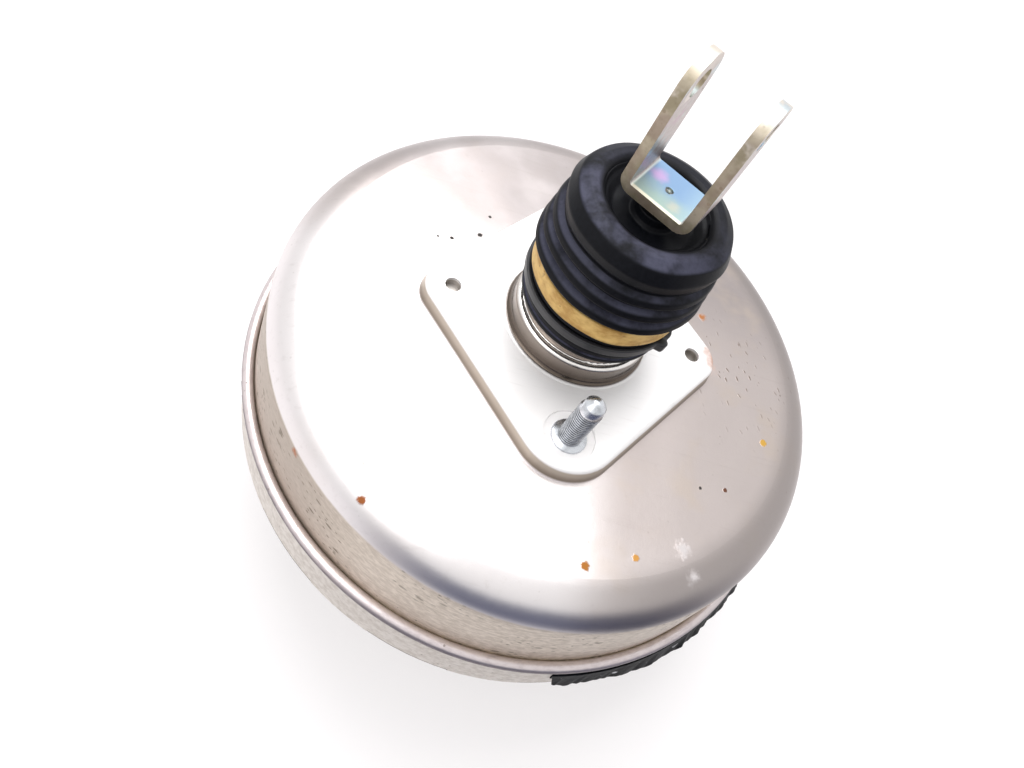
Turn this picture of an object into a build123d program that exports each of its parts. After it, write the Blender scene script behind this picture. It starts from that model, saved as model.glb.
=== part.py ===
from build123d import *

import os
from math import cos, hypot, pi, radians, sin

# Vacuum brake booster, single diaphragm, for a car.
# The origin is the centre of the bulkhead face, on the push rod's line. +Z points to the pedal,
# -Z to the master cylinder. The two bulkhead studs lie on Y and the two plain holes on X.
# Millimetres throughout.

os.makedirs("parts", exist_ok=True)

# ---------------------------------------------------------------- clearances
sliding_gap = 0.1        # radial, between a sliding or turning piece and its bore
ball_gap = 0.05          # radial, between the push rod's ball and its socket
rest_gap = 0.3           # between pieces that come near each other but don't touch
shell_nest_gap = 0.3     # radial, front shell inside the rear shell's skirt

# ---------------------------------------------------------------- rear shell
sheet = 2.0              # thickness of both pressed shells
wall_foot_r = 127.6      # wall radius at the crease above the bead; the other rim radii follow it
wall_lean = 3.0          # how much less the wall's radius is where it meets the shell face
shoulder_r = 17.0        # rounding between shell face and wall
face_drop = 6.5          # shell face below the bulkhead face, at the middle
face_fall = 2.0          # further fall of the shell face out to the shoulder
crease_z = -59.0         # foot of the wall
bead_out = 5.0           # how far the bead stands out past the wall's foot
bead_rise = 2.7          # height of the bead above the crease
skirt_out = 4.0          # how far the skirt below it stands out past the wall's foot
skirt_z = -85.0          # cut edge of the skirt
tab_count = 12           # crimp tabs bent in from the skirt
tab_angle = 13.5         # width of one tab, degrees
tab_drop = 3.0           # tab underside below the cut edge
tab_reach = 5.9          # how far a tab's tip comes in from the skirt's outer face
tab_start = 0.0          # direction of the first tab, degrees

plateau_x = 70.0         # half diagonal of the raised bulkhead face along X, before rounding
plateau_y = 83.5         # half diagonal along Y
plateau_corner_x = 12.5  # corner rounding at the X ends
plateau_corner_y = 22.0  # corner rounding at the Y ends
plateau_draft = 12.0     # lean of the plateau's side, degrees
plateau_edge = 2.4       # rounding of the plateau's top edge

neck_blend = 3.1         # rounding at the neck's foot
neck_step_z = 10.0       # shoulder between lower and upper neck
neck_shoulder = 3.1      # how far the upper neck, which carries the boot, is set in from the lower
spigot_z = 34.0          # top of the upper neck

stud_pitch_r = 56.0      # bulkhead studs, from the axis, on Y
stud_r = 5.0             # M10 stud
stud_length = 27.5       # stud above the bulkhead face
stud_shank_r = 5.6       # plain part of the stud, pressed into sheet and plate
stud_collar_r = 7.6
stud_collar_h = 0.8
stud_head_r = 8.5
stud_head_h = 5.0
stud_recess_r = 11.0     # shallow round seat pressed around each stud
stud_recess_depth = 0.9
locating_pitch_r = 55.0  # plain holes, from the axis, on X
locating_hole_r = 3.5
locating_depth = 4.0     # blind depth of the plain holes below the bulkhead face

plate_t = 3.0            # reinforcing plates behind both faces
plate_hole_gap = 1.5     # radial, between the rear plate and the seal's retainer

# ---------------------------------------------------------------- front shell
rim_top_z = -66.0        # top edge of the front shell, under the diaphragm's bead
band_step_z = -86.0      # underside of the front shell's wide band, gripped by the tabs
band_step = 4.1          # how far the wall below the band stands in from it
front_lean = 8.2         # how much less the wall's radius is at the front shoulder
front_face_z = -128.0
front_shoulder_r = 14.0
boss_r = 54.0            # raised master-cylinder face
boss_z = -132.0
boss_foot_r = 58.0
bore_r = 21.5            # master-cylinder bore
bore_collar_z = -118.0   # inner end of the bore's collar
front_stud_pitch_r = 41.0
front_stud_r = 4.0       # M8 stud
front_shank_r = 4.6      # plain part of the stud, pressed into sheet and plate
front_stud_length = 24.0
front_head_r = 7.5
front_head_h = 4.5
front_seal_h = 5.0
front_seal_band = 3.0    # width of the seal's ring in the collar

# ---------------------------------------------------------------- vacuum connection
port_radius = 84.0       # vacuum port from the axis
port_angle = 15.0        # its direction, degrees
port_hole_r = 10.5
grommet_flange_r = 13.5
grommet_inner_h = 3.0
grommet_outer_h = 4.0
nose_r = 6.5             # check valve's nose in the grommet
nose_bore_r = 3.2
chamber_r = 8.2          # inside radius of the valve chamber
chamber_wall = 2.4
chamber_h = 14.0
chamber_roof = 3.0
cap_h = 2.4
hose_r = 5.0             # outer radius of the hose spigot
hose_bore_r = 3.0
hose_length = 24.0
hose_root_r = 6.6        # shoulder at the spigot's root, against which the hose stops
hose_root = 1.8
check_disc_r = 6.6
check_disc_t = 2.0
check_lift = 1.5
check_angle = 66.0       # direction in which the hose spigot points, degrees
check_wire_r = 0.4
check_spring_r = 4.2
check_turns = 4.0
check_rest = 0.1         # disc below its seat, so that the two stay apart

# ---------------------------------------------------------------- power piston
valve_r = 20.0           # valve body where it slides in the neck
valve_spare = 22.5       # valve body left above its seal at full travel
valve_wall = 3.5         # wall round the open rear bore
valve_floor_z = 2.0
valve_seat_in = 3.5      # the vacuum seat stands in from the bore's wall by this much
valve_seat_t = 1.5
valve_seat_h = 4.6
flange_out = 6.0         # flange that backs the diaphragm, out from the sliding part
flange_top_z = -13.0
flange_t = 4.0
nose_out = 1.0           # front nose, inside the return spring, out from the sliding part
nose_piston_z = -42.0
pocket_r = 12.2          # pocket for the reaction disc
pocket_top_z = -30.0
passage_r = 2.5          # vacuum passages
passage_in = 3.4         # middle of a passage, in from the sliding part's outside
passage_count = 4

diaphragm_t = 2.0
piston_plate_t = 2.0
piston_plate_flat_r = 40.0
piston_plate_brim = 13.0  # width of the plate's outer brim
piston_plate_cone_z = -45.0
piston_plate_rim_z = -53.0
diaphragm_roll = 17.6    # room for the diaphragm's roll between the plate's rim and the wall
roll_rise = 5.8          # top of the roll above the plate's rim
roll_bend = 5.0

plunger_r = 7.9
plunger_groove_r = 5.0
plunger_rim_r = 9.6
plunger_rim_t = 2.7
plunger_top_z = 6.9
input_travel = 1.5       # plunger's own travel in the valve body
stroke = 28.0            # travel of the power piston

key_t = 3.0
key_top_z = -5.5
key_width = 16.0
key_out = 3.5            # the key's end stands out of the valve body by this much
key_slot_slack = 0.3
key_fork_gap = 0.2

reaction_t = 7.0
output_head_t = 5.0
output_rod_r = 6.0
output_rod_z = -126.0    # end of the rod's plain shank
output_tip_r = 4.0
output_tip_z = -136.0
output_nut_r = 6.5
output_nut_h = 5.0
cap_wall = 0.8
cap_rise_z = -26.0
cap_hole_r = 7.2

spring_clear = 4.0       # radial, between the return spring's wire and the nose
spring_wire_r = 2.0
spring_turns = 6.0
wire_sides = 12          # flats on a spring's drawn wire

poppet_gap = 0.3         # valve rubber above the plunger's rim at rest
poppet_disc_gap = 1.3    # radial, between the rubber's disc and the bore
poppet_eye_r = 6.8
poppet_disc_t = 2.2
poppet_sleeve_gap = 3.0  # radial, between its sleeve and the bore
poppet_sleeve_t = 1.5
poppet_rim_z = 22.0
poppet_rim_t = 3.0
keeper_t = 2.0
keeper_eye_r = 10.9
rod_spring_r = 12.4
rod_spring_wire_r = 0.8
rod_spring_turns = 3.5
poppet_spring_r = 9.2
poppet_spring_wire_r = 0.5
poppet_spring_turns = 6.0
silencer_z = 43.0
silencer_t = 4.0
filter_t = 9.0
filter_eye_r = 8.6

seal_h = 9.0             # neck seal
seal_width = 8.4         # between the valve body and the neck's sheet
seal_retainer_t = 3.2
seal_retainer_lap = 7.0  # how far the retainer reaches out past the seal
seal_retainer_gap = 1.6  # radial, between the retainer and the valve body

# ---------------------------------------------------------------- push rod and clevis
ball_r = 5.0             # its centre is at the origin
rod_neck_r = 3.4
rod_thin_r = 4.0
rod_collar_gap = 2.9     # radial, between the push rod's collar and the bore
rod_collar_z = 39.0
rod_collar_t = 2.0
rod_r = 5.0
rivet_r = 4.0
clevis_angle = -31.7     # direction of the clevis pin, degrees from +X
clevis_gap = 22.6        # between the ears
clevis_t = 3.8
clevis_width = 21.4
clevis_floor_z = 80.5    # inside floor of the clevis
clevis_pin_z = 117.7
clevis_pin_r = 5.0
clevis_bend_r = 5.6
clevis_inner_r = 1.2

# ---------------------------------------------------------------- boot
boot_foot_z = 17.0       # lower lip of the boot, on the upper neck
boot_grip = 3.6          # thickness of the collar that grips the neck
boot_wall = 2.2
band_z = 31.0            # wrapped band
band_h = 8.8
band_t = 1.1
strap_z = 24.8           # tie strap
strap_h = 3.8
strap_t = 1.3
strap_head_angle = -41.0
fold_count = 3           # folds between the band and the top roll
fold_pitch = 6.6
fold_out = 4.3           # lowest crest, out from the collar
fold_in = 4.1            # depth of a fold, from crest to root
fold_taper = 0.8         # each fold is smaller than the one below it by this much
first_crest_z = 44.8
roll_out = 1.4           # top roll, out from the collar
roll_z = 66.3            # where it is widest
top_z = 75.0             # ridge of the top roll
recess_ledge = 10.4      # width of the roll's top, out from the recess round the clevis
recess_depth = 6.8
rod_lip_h = 4.0
rod_lip_rise = 4.6       # how far the lip stands up round the push rod

# ---------------------------------------------------------------- torn sealing film
film_start = -82.0       # arc of film left on the skirt, degrees
film_end = -24.0
film_steps = 16
film_t = 0.9
film_top = 2.3           # its upper edge below the crease
film_drop = 20.0
film_flare = 1.2         # how far its lower edge stands out past the bead, at its start
film_end_flare = 5.8     # the same at its end

# ---------------------------------------------------------------- derived heights and radii
neck_r = valve_r + sliding_gap + seal_width + sheet
spigot_r = neck_r - neck_shoulder
seal_retainer_r = neck_r - sheet + seal_retainer_lap
seal_retainer_eye_r = valve_r + seal_retainer_gap
plate_hole_r = seal_retainer_r + plate_hole_gap
valve_bore_r = valve_r - valve_wall
valve_seat_r = valve_bore_r - valve_seat_in
flange_r = valve_r + flange_out
nose_piston_r = valve_r + nose_out
passage_pitch_r = valve_r - passage_in
key_reach = valve_r + key_out
spring_coil_r = nose_piston_r + spring_clear + spring_wire_r
poppet_disc_r = valve_bore_r - poppet_disc_gap
poppet_sleeve_r = valve_bore_r - poppet_sleeve_gap
rod_collar_r = valve_bore_r - rod_collar_gap
boot_collar_r = spigot_r + boot_grip
fold_crest_r = boot_collar_r + fold_out
fold_root_r = fold_crest_r - fold_in
roll_r = boot_collar_r + roll_out
recess_r = roll_r - recess_ledge
wall_top_r = wall_foot_r - wall_lean
bead_r = wall_foot_r + bead_out
skirt_r = wall_foot_r + skirt_out
skirt_in_r = skirt_r - sheet
valve_top_z = seal_h - 1.5 + stroke + valve_spare
tab_top_z = skirt_z - tab_drop + sheet
band_r = skirt_in_r - shell_nest_gap
front_wall_r = band_r - band_step
front_corner_r = front_wall_r - front_lean
bead_in_r = wall_foot_r - sheet
piston_plate_rim_r = bead_in_r - diaphragm_roll
piston_plate_cone_r = piston_plate_rim_r - piston_plate_brim
hub_z = flange_top_z - flange_t
plate_seat_z = hub_z - diaphragm_t - 2 * rest_gap
spring_top_z = plate_seat_z - piston_plate_t
front_plate_top_z = boss_z + sheet + plate_t
reaction_z = pocket_top_z - reaction_t
output_head_z = reaction_z - output_head_t
plunger_foot_z = pocket_top_z + input_travel + rest_gap
poppet_z = plunger_top_z + poppet_gap
keeper_z = poppet_rim_z + poppet_rim_t
spring_floor_z = keeper_z + keeper_t
clevis_foot_z = clevis_floor_z - clevis_t
clevis_half = clevis_gap / 2 + clevis_t


def meridian(angle):
    """Upright plane through the main axis; its x runs outward in the given direction, its y up."""
    a = radians(angle)
    return Plane(origin=(0, 0, 0), x_dir=(cos(a), sin(a), 0), z_dir=(sin(a), -cos(a), 0))


def turned(outline, rounds=(), mode=Mode.ADD, start=0.0, arc=360.0):
    """Turn a closed (radius, height) outline about the main axis.

    rounds lists (corner number, radius) for the outline's rounded corners.
    """
    with BuildSketch(meridian(start)) as section:
        with BuildLine():
            Polyline(*outline, close=True)
        make_face()
        for corner, radius in rounds:
            r, z = outline[corner]
            fillet(section.vertices().sort_by_distance((r, z, 0))[0], radius)
    revolve(section.sketch, axis=Axis.Z, revolution_arc=arc, mode=mode)


def rhombus(inset=0.0):
    """Rounded rhombus of the bulkhead face, pulled in by inset on every side."""
    side = plateau_x * plateau_y / hypot(plateau_x, plateau_y)
    k = (side - inset) / side
    with BuildSketch() as outline:
        with BuildLine():
            Polyline((k * plateau_x, 0), (0, k * plateau_y), (-k * plateau_x, 0), (0, -k * plateau_y),
                     close=True)
        make_face()
        for x in (-1, 1):
            fillet(outline.vertices().sort_by_distance((x * k * plateau_x, 0, 0))[0], plateau_corner_x - inset)
        for y in (-1, 1):
            fillet(outline.vertices().sort_by_distance((0, y * k * plateau_y, 0))[0], plateau_corner_y - inset)
    add(outline.sketch)


def coil(radius, wire, low, high, turns, at=(0, 0)):
    """Helical spring between two flat seats, its ends just touching them."""
    rise = high - low - 2 * wire
    with BuildLine() as path:
        Helix(pitch=rise / turns, height=rise, radius=radius, center=(at[0], at[1], low + wire))
    with BuildSketch(Plane(origin=path.line @ 0, z_dir=path.line % 0)) as section:
        RegularPolygon(wire, wire_sides)
    sweep(section.sketch, path=path.line, is_frenet=True)


# ================================================================ rear shell
# A drawn dish with a raised rhombic bulkhead face and a stepped neck. The wall folds out into a
# bead, runs down as a skirt and ends in twelve tabs bent in under the front shell's band.
with BuildPart() as rear_shell:
    wall_top_z = -face_drop - face_fall
    turned([(0, -face_drop), (wall_top_r, wall_top_z), (wall_foot_r, crease_z), (0, crease_z)],
           rounds=[(1, shoulder_r)])
    with BuildSketch(Plane.XY):
        rhombus()
    extrude(amount=-face_drop - sheet, taper=-plateau_draft)
    fillet(faces().sort_by(Axis.Z)[-1].edges(), plateau_edge)
    # hollow the dish and the plateau, leaving the sheet
    turned([(0, -face_drop - sheet), (wall_top_r - sheet, wall_top_z - sheet),
            (wall_foot_r - sheet, crease_z - sheet), (0, crease_z - sheet)],
           rounds=[(1, shoulder_r - sheet)], mode=Mode.SUBTRACT)
    with BuildSketch(Plane.XY.offset(-sheet)):
        rhombus(sheet)
    extrude(amount=-face_drop - sheet, taper=-plateau_draft, mode=Mode.SUBTRACT)
    # neck: foot rounding, step and the upper neck that carries the boot
    turned([(0, -sheet), (neck_r + neck_blend, -sheet), (neck_r + neck_blend, 0), (neck_r, 0),
            (neck_r, neck_step_z), (spigot_r, neck_step_z), (spigot_r, spigot_z), (0, spigot_z)],
           rounds=[(3, neck_blend - 0.01), (4, 2.0), (5, 0.8), (6, 0.8)])
    turned([(0, -sheet), (neck_r - sheet, -sheet), (neck_r - sheet, neck_step_z - sheet),
            (spigot_r - sheet, neck_step_z - sheet), (spigot_r - sheet, spigot_z), (0, spigot_z)],
           mode=Mode.SUBTRACT)
    # bead and skirt
    bead_mid = wall_foot_r + 0.46 * bead_out
    bead_low_z = crease_z - bead_rise / 3
    with BuildSketch(Plane.XZ):
        with BuildLine():
            Line((wall_foot_r - sheet, crease_z), (wall_foot_r, crease_z))
            ThreePointArc((wall_foot_r, crease_z), (bead_mid, crease_z + bead_rise), (bead_r, bead_low_z))
            Line((bead_r, bead_low_z), (skirt_r, crease_z - 4.5))
            Line((skirt_r, crease_z - 4.5), (skirt_r, skirt_z))
            Line((skirt_r, skirt_z), (skirt_in_r, skirt_z))
            Line((skirt_in_r, skirt_z), (skirt_in_r, crease_z - sheet - 0.5))
            Line((skirt_in_r, crease_z - sheet - 0.5), (wall_foot_r - sheet, crease_z - sheet - 0.5))
            Line((wall_foot_r - sheet, crease_z - sheet - 0.5), (wall_foot_r - sheet, crease_z))
        make_face()
    revolve(axis=Axis.Z)
    # crimp tabs
    for k in range(tab_count):
        turned([(skirt_in_r, skirt_z), (skirt_r, skirt_z), (skirt_r, tab_top_z - sheet),
                (skirt_r - tab_reach, tab_top_z - sheet), (skirt_r - tab_reach, tab_top_z),
                (skirt_in_r, tab_top_z)],
               rounds=[(2, 2.6)], start=tab_start + k * 360 / tab_count - tab_angle / 2, arc=tab_angle)
    # stud seats and holes
    with BuildSketch(Plane.XY):
        with Locations((0, stud_pitch_r), (0, -stud_pitch_r)):
            Circle(stud_recess_r)
    extrude(amount=-stud_recess_depth, mode=Mode.SUBTRACT)
    with BuildSketch(Plane.XY):
        with Locations((0, stud_pitch_r), (0, -stud_pitch_r)):
            Circle(stud_shank_r)
        with Locations((locating_pitch_r, 0), (-locating_pitch_r, 0)):
            Circle(locating_hole_r)
    extrude(amount=-sheet, mode=Mode.SUBTRACT)

rear_shell.part.label = "rear_shell"
export_step(rear_shell.part, "parts/rear_shell.step")

# Reinforcing plate behind the bulkhead face. It closes the two plain holes.
with BuildPart() as stud_plate:
    with BuildSketch(Plane.XY.offset(-sheet)):
        rhombus(sheet + 2.0)
        Circle(plate_hole_r, mode=Mode.SUBTRACT)
        with Locations((0, stud_pitch_r), (0, -stud_pitch_r)):
            Circle(stud_shank_r, mode=Mode.SUBTRACT)
    extrude(amount=-plate_t)
    with BuildSketch(Plane.XY.offset(-sheet)):
        with Locations((locating_pitch_r, 0), (-locating_pitch_r, 0)):
            Circle(locating_hole_r)
    extrude(amount=sheet - locating_depth, mode=Mode.SUBTRACT)

stud_plate.part.label = "stud_plate"
export_step(stud_plate.part, "parts/stud_plate.step")

# Two bulkhead studs: head under the plate, plain shank, collar flush in its seat, domed tip.
with BuildPart() as bulkhead_studs:
    with Locations((0, stud_pitch_r, 0), (0, -stud_pitch_r, 0)):
        with Locations((0, 0, -sheet - plate_t)):
            Cylinder(stud_head_r, stud_head_h, align=(Align.CENTER, Align.CENTER, Align.MAX))
            Cylinder(stud_shank_r, sheet + plate_t - stud_recess_depth,
                     align=(Align.CENTER, Align.CENTER, Align.MIN))
        with Locations((0, 0, -stud_recess_depth)):
            Cylinder(stud_collar_r, stud_collar_h, align=(Align.CENTER, Align.CENTER, Align.MIN))
            Cylinder(stud_r, stud_recess_depth + stud_length, align=(Align.CENTER, Align.CENTER, Align.MIN))
    fillet(edges().filter_by(GeomType.CIRCLE).group_by(Axis.Z)[-1], stud_r * 0.55)
    chamfer(edges().filter_by(GeomType.CIRCLE).group_by(Axis.Z)[0], 0.8)

bulkhead_studs.part.label = "bulkhead_studs"
export_step(bulkhead_studs.part, "parts/bulkhead_studs.step")

# ================================================================ front shell
# A deeper dish whose wide band sits inside the skirt on the bent tabs. The wall draws in to a
# rounded shoulder, the face carries the master-cylinder boss, its bore and the vacuum port.
port_x = port_radius * cos(radians(port_angle))
port_y = port_radius * sin(radians(port_angle))
with BuildPart() as front_shell:
    turned([(0, rim_top_z), (band_r, rim_top_z), (band_r, band_step_z), (front_wall_r, band_step_z),
            (front_corner_r, front_face_z), (boss_foot_r, front_face_z), (boss_r, boss_z), (0, boss_z)],
           rounds=[(2, 1.5), (4, front_shoulder_r), (5, 3.0), (6, 2.5)])
    turned([(0, rim_top_z), (band_r - sheet, rim_top_z), (band_r - sheet, band_step_z + sheet),
            (front_wall_r - sheet, band_step_z + sheet), (front_corner_r - sheet, front_face_z + sheet),
            (boss_foot_r - sheet, front_face_z + sheet), (boss_r - sheet, boss_z + sheet),
            (0, boss_z + sheet)],
           rounds=[(4, front_shoulder_r - sheet), (5, 3.0)], mode=Mode.SUBTRACT)
    turned([(bore_r, boss_z), (bore_r + sheet, boss_z), (bore_r + sheet, bore_collar_z),
            (bore_r, bore_collar_z)])
    with BuildSketch(Plane.XY.offset(boss_z)):
        Circle(bore_r)
        with Locations((0, front_stud_pitch_r), (0, -front_stud_pitch_r)):
            Circle(front_shank_r)
    extrude(amount=sheet + 1, mode=Mode.SUBTRACT)
    with BuildSketch(Plane.XY.offset(front_face_z)):
        with Locations((port_x, port_y)):
            Circle(port_hole_r)
    extrude(amount=sheet, mode=Mode.SUBTRACT)

front_shell.part.label = "front_shell"
export_step(front_shell.part, "parts/front_shell.step")

# Reinforcing ring behind the master-cylinder face.
with BuildPart() as front_plate:
    with BuildSketch(Plane.XY.offset(boss_z + sheet)):
        Circle(boss_r - sheet - 3.0)
        Circle(bore_r + sheet, mode=Mode.SUBTRACT)
        with Locations((0, front_stud_pitch_r), (0, -front_stud_pitch_r)):
            Circle(front_shank_r, mode=Mode.SUBTRACT)
    extrude(amount=plate_t)

front_plate.part.label = "front_plate"
export_step(front_plate.part, "parts/front_plate.step")

# Two master-cylinder studs.
with BuildPart() as front_studs:
    with Locations((0, front_stud_pitch_r, front_plate_top_z), (0, -front_stud_pitch_r, front_plate_top_z)):
        Cylinder(front_head_r, front_head_h, align=(Align.CENTER, Align.CENTER, Align.MIN))
        Cylinder(front_shank_r, plate_t + sheet, align=(Align.CENTER, Align.CENTER, Align.MAX))
        Cylinder(front_stud_r, plate_t + sheet + front_stud_length,
                 align=(Align.CENTER, Align.CENTER, Align.MAX))
    chamfer(edges().filter_by(GeomType.CIRCLE).group_by(Axis.Z)[0], 1.0)

front_studs.part.label = "front_studs"
export_step(front_studs.part, "parts/front_studs.step")

# Rubber seal in the collar of the front bore, round the output rod.
with BuildPart() as front_seal:
    seal_lip_r = output_rod_r + rest_gap
    web_z = bore_collar_z - 0.44 * front_seal_h
    turned([(seal_lip_r, bore_collar_z), (bore_r, bore_collar_z), (bore_r, bore_collar_z - front_seal_h),
            (bore_r - front_seal_band, bore_collar_z - front_seal_h), (bore_r - front_seal_band, web_z),
            (seal_lip_r + 0.8 * front_seal_band, web_z), (seal_lip_r, bore_collar_z - 0.8 * front_seal_h)])

front_seal.part.label = "front_seal"
export_step(front_seal.part, "parts/front_seal.step")

# ================================================================ neck seal and its retainer
with BuildPart() as neck_seal:
    seal_r = neck_r - sheet
    lip_r = valve_r + sliding_gap
    turned([(lip_r + 1.2, -sheet), (seal_r, -sheet), (seal_r, seal_h - 1.5), (seal_r - 2.5, seal_h - 1.5),
            (seal_r - 2.5, 0.5), (lip_r + 3.0, 0.5), (lip_r + 2.0, seal_h - 2.5), (lip_r, seal_h - 3.5),
            (lip_r, seal_h - 5.0)])

neck_seal.part.label = "neck_seal"
export_step(neck_seal.part, "parts/neck_seal.step")

with BuildPart() as seal_retainer:
    turned([(seal_retainer_eye_r, -sheet), (seal_retainer_r, -sheet),
            (seal_retainer_r, -sheet - seal_retainer_t), (seal_retainer_eye_r, -sheet - seal_retainer_t)],
           rounds=[(2, 1.0), (3, 0.8)])

seal_retainer.part.label = "seal_retainer"
export_step(seal_retainer.part, "parts/seal_retainer.step")

# ================================================================ power piston
# Valve body: open rear bore with a raised vacuum seat, plunger bore, key slot, flange for the
# diaphragm, and a nose with the reaction disc's pocket. Four passages lead past the seat.
with BuildPart() as valve_body:
    turned([(0, nose_piston_z), (nose_piston_r, nose_piston_z), (nose_piston_r, hub_z), (flange_r, hub_z),
            (flange_r, flange_top_z), (valve_r, flange_top_z), (valve_r, valve_top_z), (0, valve_top_z)],
           rounds=[(1, 0.8), (4, 1.0), (6, 1.2)])
    turned([(0, valve_floor_z), (valve_bore_r, valve_floor_z), (valve_bore_r, valve_top_z),
            (0, valve_top_z)], mode=Mode.SUBTRACT)
    turned([(valve_seat_r - valve_seat_t, valve_floor_z), (valve_seat_r, valve_floor_z),
            (valve_seat_r, valve_floor_z + valve_seat_h), (valve_seat_r - valve_seat_t,
            valve_floor_z + valve_seat_h)])
    turned([(0, pocket_top_z), (plunger_r + sliding_gap, pocket_top_z),
            (plunger_r + sliding_gap, valve_floor_z), (0, valve_floor_z)], mode=Mode.SUBTRACT)
    turned([(0, nose_piston_z), (pocket_r, nose_piston_z), (pocket_r, pocket_top_z), (0, pocket_top_z)],
           mode=Mode.SUBTRACT)
    with BuildSketch(Plane.XY.offset(valve_floor_z)):
        with PolarLocations(passage_pitch_r, passage_count, start_angle=45):
            Circle(passage_r)
    extrude(amount=nose_piston_z - valve_floor_z, mode=Mode.SUBTRACT)
    with BuildSketch(Plane.XY.offset(key_top_z + key_slot_slack)):
        with Locations(((flange_r - key_width / 2 - 1) / 2, 0)):
            Rectangle(flange_r + key_width / 2 + 1, key_width + 2 * key_slot_slack)
    extrude(amount=-key_t - 2 * key_slot_slack, mode=Mode.SUBTRACT)

valve_body.part.label = "valve_body"
export_step(valve_body.part, "parts/valve_body.step")

# Pressed piston plate behind the diaphragm.
with BuildPart() as piston_plate:
    turned([(nose_piston_r, plate_seat_z), (piston_plate_flat_r, plate_seat_z),
            (piston_plate_cone_r, piston_plate_cone_z), (piston_plate_rim_r, piston_plate_rim_z),
            (piston_plate_rim_r, piston_plate_rim_z - piston_plate_t),
            (piston_plate_cone_r - 0.6, piston_plate_cone_z - piston_plate_t),
            (piston_plate_flat_r - 0.6, spring_top_z), (nose_piston_r, spring_top_z)],
           rounds=[(1, 6.0), (2, 5.0), (5, 4.0), (6, 5.0)])

piston_plate.part.label = "piston_plate"
export_step(piston_plate.part, "parts/piston_plate.step")

# Rolling diaphragm: follows the plate, rolls over at its rim and ends in the clamped bead.
with BuildPart() as diaphragm:
    bead_top_z = crease_z - 1.25 * sheet
    bead_foot_z = rim_top_z - sheet
    cover = diaphragm_t
    under_z = plate_seat_z + rest_gap
    eye_r = nose_piston_r + rest_gap
    clamp_r = band_r - 1.6 * sheet
    outline = [(eye_r, under_z), (eye_r, under_z + cover), (piston_plate_flat_r + 0.3 * cover, under_z + cover),
               (piston_plate_cone_r + 0.3 * cover, piston_plate_cone_z + cover + rest_gap),
               (piston_plate_rim_r + 0.75 * cover, piston_plate_rim_z + cover + rest_gap),
               (piston_plate_rim_r + 0.455 * diaphragm_roll, piston_plate_rim_z + roll_rise),
               (piston_plate_rim_r + 0.824 * diaphragm_roll, bead_top_z + 2.0 * cover),
               (bead_in_r, bead_top_z), (band_r, bead_top_z), (band_r, rim_top_z), (clamp_r, rim_top_z),
               (clamp_r, bead_foot_z), (bead_in_r - 0.75 * cover, bead_foot_z),
               (piston_plate_rim_r + 0.727 * diaphragm_roll, bead_top_z + 1.5 * cover),
               (piston_plate_rim_r + 0.426 * diaphragm_roll, piston_plate_rim_z + 0.466 * roll_rise),
               (piston_plate_rim_r + cover, piston_plate_rim_z - 0.05 * cover),
               (piston_plate_rim_r, piston_plate_rim_z + rest_gap),
               (piston_plate_cone_r, piston_plate_cone_z + rest_gap), (piston_plate_flat_r, under_z)]
    turned(outline, rounds=[(2, roll_bend), (3, 0.8 * roll_bend), (len(outline) - 2, roll_bend),
                            (len(outline) - 1, 1.2 * roll_bend)])

diaphragm.part.label = "diaphragm"
export_step(diaphragm.part, "parts/diaphragm.step")

# Return spring between the front plate and the piston plate.
with BuildPart() as return_spring:
    coil(spring_coil_r, spring_wire_r, front_plate_top_z, spring_top_z - rest_gap, spring_turns)

return_spring.part.label = "return_spring"
export_step(return_spring.part, "parts/return_spring.step")

# Rubber reaction disc in its pocket.
with BuildPart() as reaction_disc:
    turned([(0, reaction_z), (pocket_r, reaction_z), (pocket_r, pocket_top_z), (0, pocket_top_z)],
           rounds=[(2, 0.6)])

reaction_disc.part.label = "reaction_disc"
export_step(reaction_disc.part, "parts/reaction_disc.step")

# Output rod with its head in the pocket and a blind threaded end.
with BuildPart() as output_rod:
    turned([(0, output_rod_z), (output_rod_r, output_rod_z), (output_rod_r, output_head_z),
            (pocket_r - 0.2, output_head_z), (pocket_r - 0.2, reaction_z), (0, reaction_z)],
           rounds=[(2, 1.0), (4, 0.8)])
    with BuildSketch(Plane.XY.offset(output_rod_z)):
        Circle(output_tip_r - 0.8)
    extrude(amount=12, mode=Mode.SUBTRACT)

output_rod.part.label = "output_rod"
export_step(output_rod.part, "parts/output_rod.step")

# Adjusting tip: hexagon on a screwed shank, with a domed end.
with BuildPart() as output_tip:
    with BuildSketch(Plane.XY.offset(output_rod_z)):
        RegularPolygon(output_nut_r, 6)
    extrude(amount=-output_nut_h)
    with BuildSketch(Plane.XY.offset(output_rod_z)):
        Circle(output_tip_r - 0.8)
    extrude(amount=10)
    with BuildSketch(Plane.XY.offset(output_rod_z - output_nut_h)):
        Circle(output_tip_r)
    extrude(amount=output_tip_z - output_rod_z + output_nut_h)
    fillet(edges().filter_by(GeomType.CIRCLE).group_by(Axis.Z)[0], output_tip_r * 0.6)

output_tip.part.label = "output_tip"
export_step(output_tip.part, "parts/output_tip.step")

# Pressed cap that holds the output rod on the nose.
with BuildPart() as rod_cap:
    turned([(cap_hole_r, nose_piston_z - cap_wall), (nose_piston_r + cap_wall, nose_piston_z - cap_wall),
            (nose_piston_r + cap_wall, cap_rise_z), (nose_piston_r, cap_rise_z),
            (nose_piston_r, nose_piston_z), (cap_hole_r, nose_piston_z)],
           rounds=[(1, 1.2)])

rod_cap.part.label = "rod_cap"
export_step(rod_cap.part, "parts/rod_cap.step")

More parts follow.
